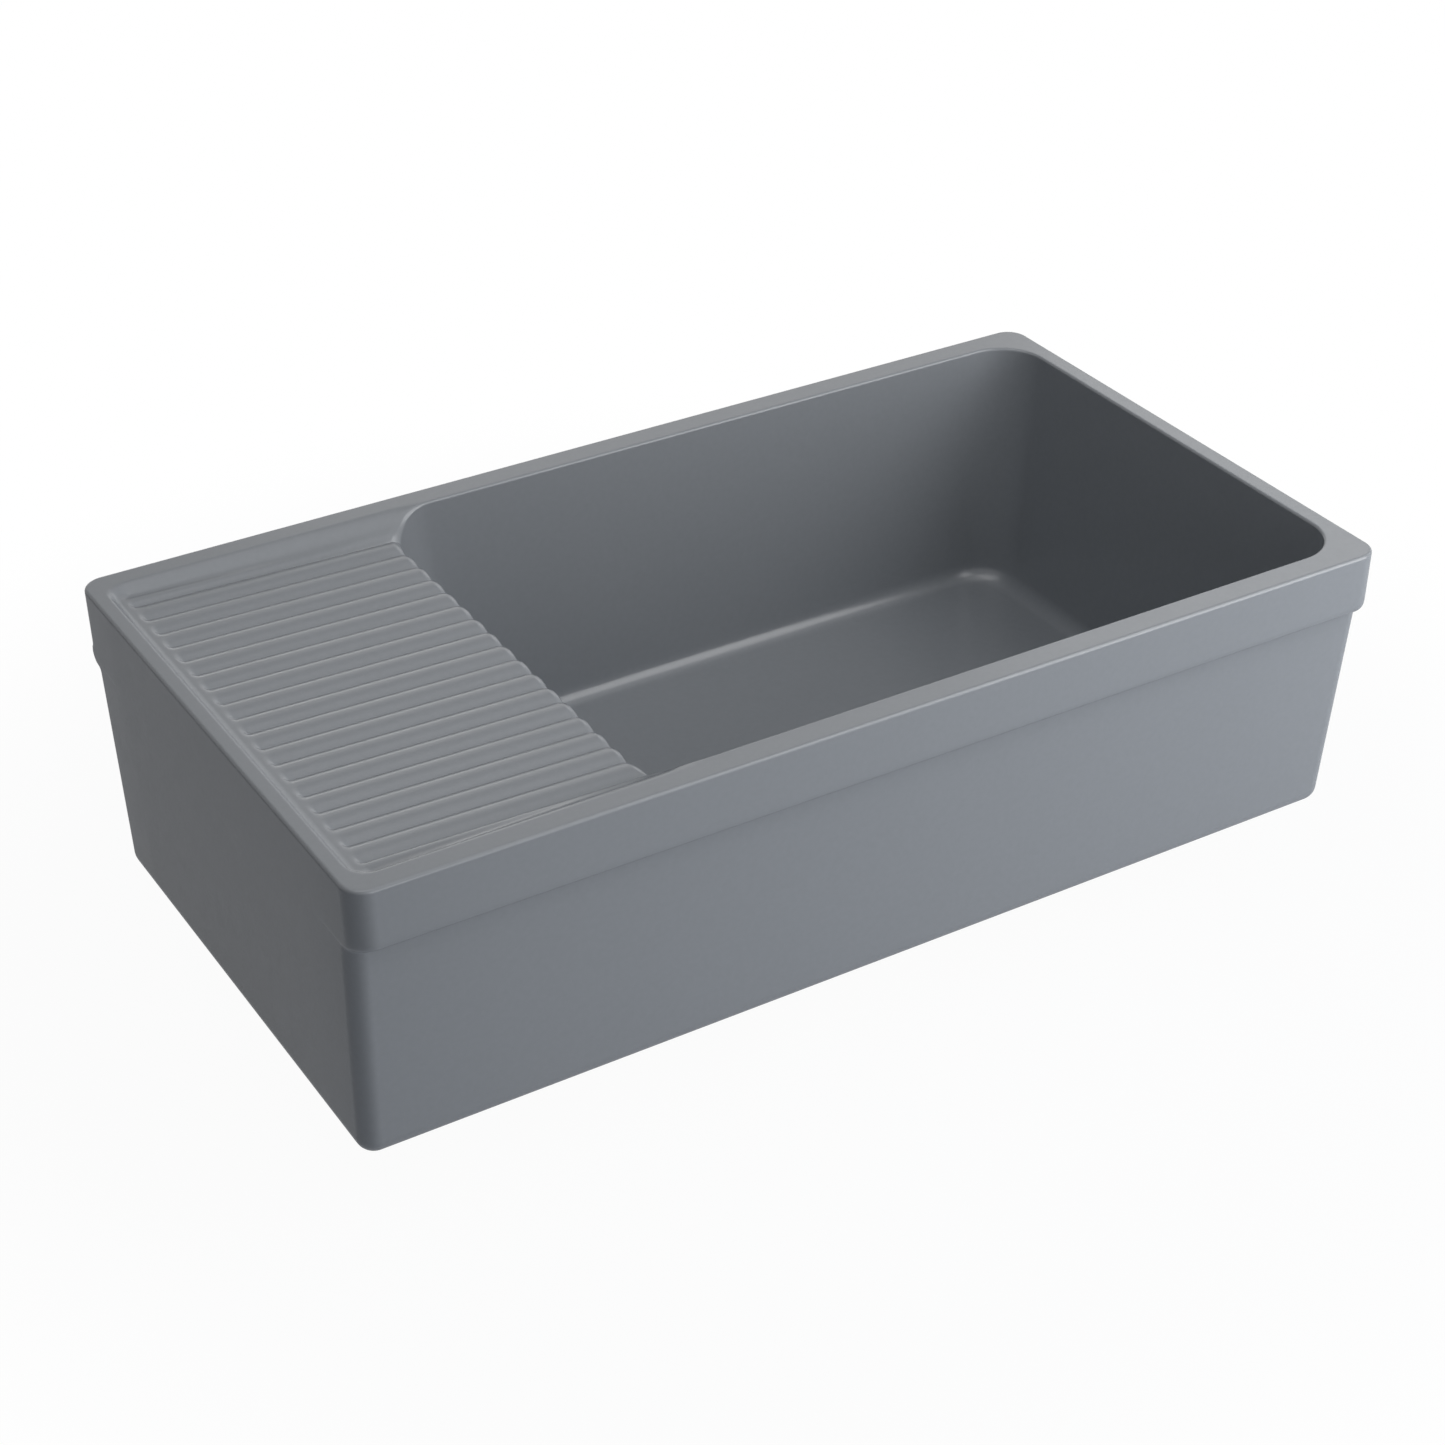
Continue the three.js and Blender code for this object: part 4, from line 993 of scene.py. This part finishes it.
def postClip():
    # spring sleeve: its section carried round all but the slit, with the section as a face at its two sides
    n = clipShape
    collar, low, high = nodeSize("post_clip")
    sleeve, step = onPost + n["wall"], high - n["collarHeight"]
    profile = rounded([(onPost, low, 0.15), (sleeve, low, 0.2), (sleeve, step, 0), (collar, step, 0.2),
                       (collar, high, 0.2), (onPost, high, 0.2)])
    half = n["slit"] / 2 / sleeve
    angles = n["slitAngle"] + np.linspace(half, 2 * math.pi - half, s["slimSteps"])
    grid = spin(profile, angles)
    ends = [(grid[:-1, column], np.arange(len(profile) - 1)[None]) for column in (0, -1)]
    side = (grid.reshape(-1, 3), gridQuads(*grid.shape[:2]))
    return madePiece("post_clip", "sink", [side, *ends])


basketShape = {
    "floorRadius": 29,
    "footWidth": 3,
    "footHeight": 2,
    "wall": 0.9,
    "bead": 1.1,  # radius of the rolled rim
    "slots": 20,
    "slotWidth": 2.8,
    "slotHeight": 16,
    "slotBottom": 9.5,  # above the floor
    "slotMargin": 2.5,
    "holes": 12,
    "holeRadius": 2.2,
    "holeCircle": 20,
    "holeZone": 4.4,  # half the width of the ring that holds them
    "steps": 240,
    "rings": 4,  # loops from a cell's border to its slot or hole
}


def basketSkin(outside):
    # radius and height of one side of the pressed sheet, from the post to the rolled rim
    b = basketShape
    rimRadius, bottom, top = nodeSize("basket_cup")
    inset = 0 if outside else b["wall"]
    throat = rimRadius - 2 * b["bead"]  # outside of the wall below the rim
    foot = b["floorRadius"] + b["footWidth"]
    return rounded([
        (onPost, bottom + inset, 0), (b["floorRadius"] - inset / 2, bottom + inset, 4),
        (foot - inset, bottom + b["footHeight"] + inset / 2, 3),
        (throat - inset, top - b["bead"] * (2 if outside else 1), 0),
    ], closed=False)


def lengthAlong(skin):
    # the sum of the profile's steps up to each of its points
    return np.concatenate([[0], np.cumsum(np.hypot(*np.diff(skin, axis=0).T))])


def sheetPoints(skin, length, angles):
    # points at the given lengths along the skin and angles round the axis
    radius = np.interp(length, lengthAlong(skin), skin[:, 0])
    height = np.interp(length, lengthAlong(skin), skin[:, 1])
    return np.stack([drainX + radius * np.cos(angles), radius * np.sin(angles), height], axis=-1)


def lengthTo(skin, value, column):
    # the length along the skin at which its radius (column 0) or height (column 1) reaches a value
    return np.interp(value, skin[:, column], lengthAlong(skin))


def plainZone(skin, low, high, rows):
    # the skin without openings between two lengths along it
    angles = turnAngles(basketShape["steps"])
    length = np.linspace(low, high, rows)[:, None] + 0 * angles
    return band(sheetPoints(skin, length, angles))


def cellLoop(low, high, count, up):
    # The border of one of count cells, in length and angle, anticlockwise from its lower left corner. With
    # it come the steps across the cell and the angle to the next cell.
    across, pitch = basketShape["steps"] // count, 2 * math.pi / count
    bottom, side = np.linspace(-1, 1, across + 1)[:-1], np.linspace(0, 1, up + 1)[:-1]
    angle = np.concatenate([bottom, 1 + 0 * side, -bottom, 0 * side - 1]) * pitch / 2
    length = np.concatenate([0 * bottom, side, 1 + 0 * bottom, 1 - side]) * (high - low) + low
    return length, angle, across, pitch


def slotLoop(height, width, across, up):
    # a slot with half round ends, about its middle: as many points, in the same order, as its cell's border
    turn = np.linspace(0, math.pi, across + 1)[:-1]
    straight = np.linspace(0, 1, up + 1)[:-1]
    radius, span = width / 2, height - width
    across, up = radius * np.cos(turn), span / 2 + radius * np.sin(turn)
    x = np.concatenate([-across, radius + 0 * straight, across, 0 * straight - radius])
    y = np.concatenate([-up, span * straight - span / 2, up, span / 2 - span * straight])
    return x, y


def slotZone(skin, low, high):
    # every cell round the wall is a set of loops that change from its border into its slot
    b = basketShape
    length, angle, across, pitch = cellLoop(low, high, b["slots"], 12)
    x, y = slotLoop(b["slotHeight"], b["slotWidth"], across, 12)
    middle = (low + high) / 2
    radius = np.interp(middle, lengthAlong(skin), skin[:, 0])
    mix = np.linspace(0, 1, b["rings"])[:, None, None]
    turn = np.arange(b["slots"])[None, :, None] * pitch
    points = sheetPoints(skin, length + (middle + y - length) * mix + 0 * turn,
                         angle + (x / radius - angle) * mix + turn)
    return [band(points[:, k]) for k in range(b["slots"])], points[-1]


def holeZone(skin, low, high):
    # the same round the floor, where the loops change into round holes
    b = basketShape
    length, angle, _, pitch = cellLoop(low, high, b["holes"], 8)
    turn = np.arange(b["holes"])[:, None] * pitch
    border = sheetPoints(skin, length + 0 * turn, angle + turn)
    toward = np.arctan2(border[0, :, 1], border[0, :, 0] - drainX - b["holeCircle"])
    x = b["holeCircle"] + b["holeRadius"] * np.cos(toward)
    y = b["holeRadius"] * np.sin(toward)
    hole = np.stack([drainX + x * np.cos(turn) - y * np.sin(turn), x * np.sin(turn) + y * np.cos(turn),
                     border[..., 2]], axis=-1)
    mix = np.linspace(0, 1, b["rings"])[:, None, None, None]
    points = border + (hole - border) * mix
    return [band(points[:, k]) for k in range(b["holes"])], hole


def basketCup():
    # Pressed sheet: an outer and an inner skin, joined by the sides of every hole and slot and by the rim.
    b = basketShape
    rimRadius, bottom, top = nodeSize("basket_cup")
    slotLow, slotHigh = bottom + b["slotBottom"], bottom + b["slotBottom"] + b["slotHeight"]
    patches, edges = [], []
    for outside in (True, False):
        skin = basketSkin(outside)
        holesFrom = lengthTo(skin, b["holeCircle"] - b["holeZone"], 0)
        holesTo = lengthTo(skin, b["holeCircle"] + b["holeZone"], 0)
        slotsFrom = lengthTo(skin, slotLow - b["slotMargin"], 1)
        slotsTo = lengthTo(skin, slotHigh + b["slotMargin"], 1)
        slots, slotEdges = slotZone(skin, slotsFrom, slotsTo)
        holes, holeEdges = holeZone(skin, holesFrom, holesTo)
        patches += [plainZone(skin, 0, holesFrom, 4), *holes, plainZone(skin, holesTo, slotsFrom, 22),
                    *slots, plainZone(skin, slotsTo, lengthAlong(skin)[-1], 5)]
        edges.append([*slotEdges, *holeEdges])
    patches += [band(np.stack(pair)) for pair in zip(*edges)]
    # the rim: from the wall's inside over a quarter ellipse, then round a bead to the wall's outside
    bead, wall = b["bead"], b["wall"]
    ellipse = np.linspace(math.pi, math.pi / 2, 7)[:-1]
    circle = np.linspace(math.pi / 2, -0.72 * math.pi, 16)
    turn = np.concatenate([ellipse, circle])
    reach = np.concatenate([0 * ellipse + wall, 0 * circle]) + bead
    section = np.column_stack([rimRadius - bead + reach * np.cos(turn), top - bead + bead * np.sin(turn)])
    section = np.vstack([section, (rimRadius - 2 * bead, top - 2 * bead)])
    bore = np.array([basketSkin(True)[0], basketSkin(False)[0]])
    patches += [turnedPatch(profile, turnAngles(b["steps"])) for profile in (section, bore)]
    return madePiece("basket_cup", "basket", patches, 30)


def basketCollar():
    # a low cone with rounded edges
    outer, low, high = nodeSize("basket_collar")
    profile = rounded([(onPost, low, 0.2), (outer, low, 0.3), (outer - 1, high, 0.4), (onPost, high, 0.2)])
    return turnedPiece("basket_collar", "stopper", profile, turnAngles(s["slimSteps"]))


def backingWasher():
    outer, low, high = nodeSize("backing_washer")
    profile = flatRing(onPost, outer, low, high, 0.25)
    return turnedPiece("backing_washer", "stopper", profile)


stopperShape = {"lip": 1.5, "recess": 1, "edge": 1.6, "crown": 4, "ridge": 15, "ridgeHeight": 0.5}


def stopperSeal():
    # moulded disc: a sealing lip below, a sloping crown above
    n = stopperShape
    outer, low, high = nodeSize("stopper_seal")
    foot, recess = s["outletBore"], low + n["recess"]
    profile = rounded([
        (onPost, recess, 0.2), (foot, recess, 0.4), (foot + n["lip"], low, 0.5), (outer, low, 0.5),
        (outer, low + n["edge"], 0.6), (outer - n["crown"], high - 0.2, 1.5),
        (n["ridge"] + 1, high - n["ridgeHeight"], 0.4), (n["ridge"], high, 0.4), (onPost, high, 0.2)])
    return turnedPiece("stopper_seal", "stopper", profile)


postShape = {"grooveUp": (14, 5), "grooveDepth": 0.6, "grooveFlat": 1, "grooveWidth": 2.4, "tipBevel": 1.2}


def basketPost():
    # turned rod: rounded tip, two grooves for the clip and a flat top inside the knob
    n = postShape
    radius, low, high = nodeSize("basket_post")
    flat, wide, depth = n["grooveFlat"] / 2, n["grooveWidth"] / 2, n["grooveDepth"]
    grooves = [(radius - cut, low + up + offset, 0.25) for up in sorted(n["grooveUp"])
               for offset, cut in ((-wide, 0), (-flat, depth), (flat, depth), (wide, 0))]
    tip = [(0, low, 0), (radius - n["tipBevel"], low, 0.5), (radius, low + 1.5 * n["tipBevel"], 0.8)]
    profile = rounded([*tip, *grooves, (radius, high, 0.2), (0, high, 0)], closed=False)
    return turnedPiece("basket_post", "stopper", profile, turnAngles(s["slimSteps"]))


def throughPoints(points, steps):
    # a smooth line through its inner points: on each span a cubic in t, whose slope at a point is half the
    # step between that point's neighbours
    p = np.asarray(points, dtype=float)
    before, start, end, after = p[:-3, None], p[1:-2, None], p[2:-1, None], p[3:, None]
    t = np.linspace(0, 1, steps + 1)[:-1, None]
    square = 2 * before - 5 * start + 4 * end - after
    cube = 3 * (start - end) - before + after
    spans = 0.5 * (2 * start + (end - before) * t + square * t ** 2 + cube * t ** 3)
    return np.vstack([spans.reshape(-1, p.shape[1]), p[-2:-1]])


knobShape = {
    # the outline's radius and height as shares of the knob's own
    "outline": ((0.5, 0.27), (0.62, 0.46), (0.95, 0.58), (0.99, 0.7), (0.93, 0.85), (0.55, 0.97), (0, 1)),
    "foot": 0.55,
    "socket": 6,
}


def basketKnob():
    # Turned knob: the outline is a smooth line through its points, level on the axis, over a blind bore.
    n = knobShape
    radius, low, high = nodeSize("basket_knob")
    outline = [(n["foot"], 0.02), *n["outline"], (-n["outline"][-2][0], n["outline"][-2][1])]
    skin = throughPoints([(n["foot"] + 0.02, -0.2), *outline], 8) * (radius, high - low) + (0, low)
    ceiling = low + n["socket"] + s["gap"]
    bore = [(0, ceiling), (onPost, ceiling), (onPost, low + 0.3), (onPost + 0.3, low),
            (n["foot"] * radius - 0.3, low)]
    profile = np.vstack([bore, skin])
    return turnedPiece("basket_knob", "stopper", profile, turnAngles(s["slimSteps"] * 2))


def postNut():
    # Hexagon nut: its radius is the hexagon's, cut down to a bevel's circle near both faces.
    _, low, high = nodeSize("post_nut")
    corner = (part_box("post_nut")[1][1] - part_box("post_nut")[0][1]) / 2 / millimetre
    apothem = corner * math.cos(math.pi / 6)
    angles = turnAngles(s["slimSteps"] * 2)
    hexagon = apothem / np.cos((angles + math.pi / 6) % (math.pi / 3) - math.pi / 6)
    reach = np.array([apothem - 0.1, apothem + 0.35, corner, corner, apothem + 0.35, apothem - 0.1])
    height = np.array([low, low + 0.15, low + 0.7, high - 0.7, high - 0.15, high])
    radius = np.minimum(hexagon, reach[:, None])
    bore = [(onPost + 0.3, high), (onPost, high - 0.3), (onPost, low + 0.3), (onPost + 0.3, low)]
    profile = np.vstack([np.column_stack([0 * height, height]), bore, [(0, low)]])
    change = np.vstack([radius, np.zeros((len(bore), len(angles))), radius[:1]])
    return turnedPiece("post_nut", "stopper", profile, angles, change)


def grain(tree, place, size, detail=2):
    # noise whose blotches are about the given size across, in millimetres
    return addNode(tree, "ShaderNodeTexNoise", [("Vector", place)], in_Scale=1 / (size * millimetre),
                   in_Detail=detail).outputs["Fac"]


def between(tree, factor, low, high):
    # a number that goes from low to high as the factor goes from 0.3 to 0.7, where noise mostly lies
    return addNode(tree, "ShaderNodeMapRange", [("Value", factor)], in_From_Min=0.3, in_From_Max=0.7,
                   in_To_Min=low, in_To_Max=high)


def tinted(tree, factor, low, high):
    # a colour that goes from the low code to the high one with the factor
    return addNode(tree, "ShaderNodeMixRGB", [(0, factor)], in_1=linear(low), in_2=linear(high))


def bumped(tree, height, depth, under=None):
    # the surface's normal, tilted by a height field whose range is the given depth in millimetres
    links = [("Height", height)] + ([("Normal", under)] if under else [])
    return addNode(tree, "ShaderNodeBump", links, in_Distance=depth * millimetre)


def finished(material, tree, colour, roughness, normal, **settings):
    links = [("Base Color", colour), ("Roughness", roughness), ("Normal", normal)]
    skin = addNode(tree, "ShaderNodeBsdfPrincipled", links, **settings)
    addNode(tree, "ShaderNodeOutputMaterial", [(0, skin)])
    return material


glaze = {
    "colour": "#82868b",
    "thin": "#878b90",
    "bisque": "#cabba2",
    "bisqueDark": "#b9a88d",
    "roughness": (0.21, 0.26),
    "shineCloud": 14,  # mm, patches of more and less shine
    "mottle": 5,
    "clayGrain": 3,
    "peel": 2.6,  # mm between the skin's faint dimples
    "peelDepth": 0.02,
    "wave": 38,
    "waveDepth": 0.12,
}


def glazedFireclay():
    # Satin glaze sprayed on fireclay and fired: a soft broad shine, faint mottling a few millimetres across
    # and a skin that is never quite flat. The foot and the hollow are bare, dull, biscuit-fired clay.
    g = glaze
    material, tree, place = newMaterial("glazed fireclay, sprayed and fired")
    colour = tinted(tree, grain(tree, place, g["mottle"], 4), g["colour"], g["thin"])
    bare = addNode(tree, "ShaderNodeAttribute", attribute_name="unglazed").outputs["Fac"]
    clay = tinted(tree, grain(tree, place, g["clayGrain"], 5), g["bisqueDark"], g["bisque"])
    surface = addNode(tree, "ShaderNodeMixRGB", [(0, bare), (1, colour), (2, clay)])
    gloss = between(tree, grain(tree, place, g["shineCloud"], 3), *g["roughness"])
    roughness = addNode(tree, "ShaderNodeMath", [(0, gloss), (1, bare)], operation="MAXIMUM")
    waves = bumped(tree, grain(tree, place, g["wave"], 1), g["waveDepth"])
    skin = bumped(tree, grain(tree, place, g["peel"]), g["peelDepth"], waves)
    return finished(material, tree, surface, roughness, skin)


metals = {
    "steel": "#c6c7c9",
    "steelDark": "#b4b6b9",
    "brass": "#b18f4b",
    "brassDark": "#967537",
    "line": 0.35,  # mm between the lines of polishing or turning, coarser than real so that they show
    "cloud": 9,
    "sand": 0.9,  # mm, grain of a sand casting's skin
}


def roundTheAxis(tree, place):
    # each point's distance from the drain's axis and its height, so that a pattern runs in circles
    toAxis = (-drainX * millimetre, 0, 0)
    centred = addNode(tree, "ShaderNodeMapping", [("Vector", place)], in_Location=toAxis)
    parts = addNode(tree, "ShaderNodeSeparateXYZ", [(0, centred)]).outputs
    level = addNode(tree, "ShaderNodeCombineXYZ", [(0, parts[0]), (1, parts[1])])
    distance = addNode(tree, "ShaderNodeVectorMath", [(0, level)], operation="LENGTH").outputs["Value"]
    return addNode(tree, "ShaderNodeCombineXYZ", [(0, distance), (1, parts[2])]).outputs[0]


def turnedMetal(name, low, high, roughness, lineDepth):
    # Fine circular lines stretch the highlights across them, and cloudy patches dull them a little.
    material, tree, place = newMaterial(name)
    lines = grain(tree, roundTheAxis(tree, place), metals["line"], 1)
    clouds = grain(tree, place, metals["cloud"], 3)
    both = addNode(tree, "ShaderNodeMath", [(0, lines), (1, clouds)], operation="MULTIPLY_ADD", in_2=0.25)
    return finished(material, tree, tinted(tree, clouds, low, high), between(tree, both, *roughness),
                    bumped(tree, lines, lineDepth), in_Metallic=1)


def polishedSteel():
    # Stainless steel, pressed, then polished in circles: bright, with soft streaks round the axis.
    return turnedMetal("stainless steel, pressed and polished", metals["steelDark"], metals["steel"],
                       (0.16, 0.3), 0.004)


def turnedBrass():
    # Brass off the lathe: warm, satin, with circular tool lines.
    return turnedMetal("brass, turned", metals["brassDark"], metals["brass"], (0.28, 0.42), 0.008)


def castBrass():
    # Brass from a sand mould: a pebbly skin that breaks up the shine, darker in its pores.
    material, tree, place = newMaterial("brass, sand cast")
    sand = grain(tree, place, metals["sand"], 3)
    return finished(material, tree, tinted(tree, sand, metals["brassDark"], metals["brass"]),
                    between(tree, sand, 0.55, 0.38), bumped(tree, sand, 0.12), in_Metallic=1)


softs = {
    "rubber": "#151719",
    "rubberBloom": "#212426",
    "putty": "#aeaba1",
    "puttyDark": "#9c998f",
    "fibre": "#9c764a",
    "fibreDark": "#7d5c37",
    "nylon": "#dcdbd5",
    "nylonDark": "#d2d0c8",
}


def softFinish(name, low, high, size, roughness, depth, **settings):
    # a dull material whose colour, shine and relief follow one noise of the given size in millimetres
    material, tree, place = newMaterial(name)
    patches = grain(tree, place, size, 4)
    return finished(material, tree, tinted(tree, patches, low, high), between(tree, patches, *roughness),
                    bumped(tree, grain(tree, place, size / 4, 3), depth), **settings)


def mouldedRubber():
    # Black nitrile rubber from a mould: almost no shine, with a faint grey bloom.
    return softFinish("black rubber, moulded", softs["rubber"], softs["rubberBloom"], 5, (0.5, 0.66), 0.03,
                      in_IOR=1.52)


def rolledPutty():
    # Plumber's putty rolled by hand and squeezed flat: chalky, with fine dents.
    return softFinish("putty, rolled and squeezed", softs["puttyDark"], softs["putty"], 4, (0.6, 0.75),
                      0.15, in_IOR=1.48)


def pressedFibre():
    # Fibre board stamped from sheet: tan, matt and flecked.
    return softFinish("fibre, pressed sheet", softs["fibreDark"], softs["fibre"], 1.4, (0.8, 0.92), 0.05,
                      in_IOR=1.45)


def mouldedNylon():
    # Natural nylon from a mould: milky, because light enters a millimetre or so, with a low shine.
    return softFinish("nylon, natural, moulded", softs["nylonDark"], softs["nylon"], 8, (0.36, 0.46), 0.02,
                      in_IOR=1.53, in_Subsurface_Weight=0.15, in_Subsurface_Scale=0.001)


makeCamera()
makeStudio()
print("camera and studio made")

makers = {
    glazedFireclay: [makeCasting],
    polishedSteel: [strainerBody, strainerCross, basketCup, basketCollar, basketPost, basketKnob,
                    backingWasher],
    castBrass: [lockNut],
    turnedBrass: [couplingNut, postClip, postNut],
    mouldedRubber: [underGasket, stopperSeal],
    rolledPutty: [flangeSeal],
    pressedFibre: [frictionWasher],
    mouldedNylon: [couplingWasher],
}
for finish, pieces in makers.items():
    material = finish()
    for make in pieces:
        piece = make()
        piece.data.materials.append(material)
        print(piece.name, "made,", len(piece.data.polygons), "faces,", material.name)

bpy.context.scene.view_settings.view_transform = "Standard"
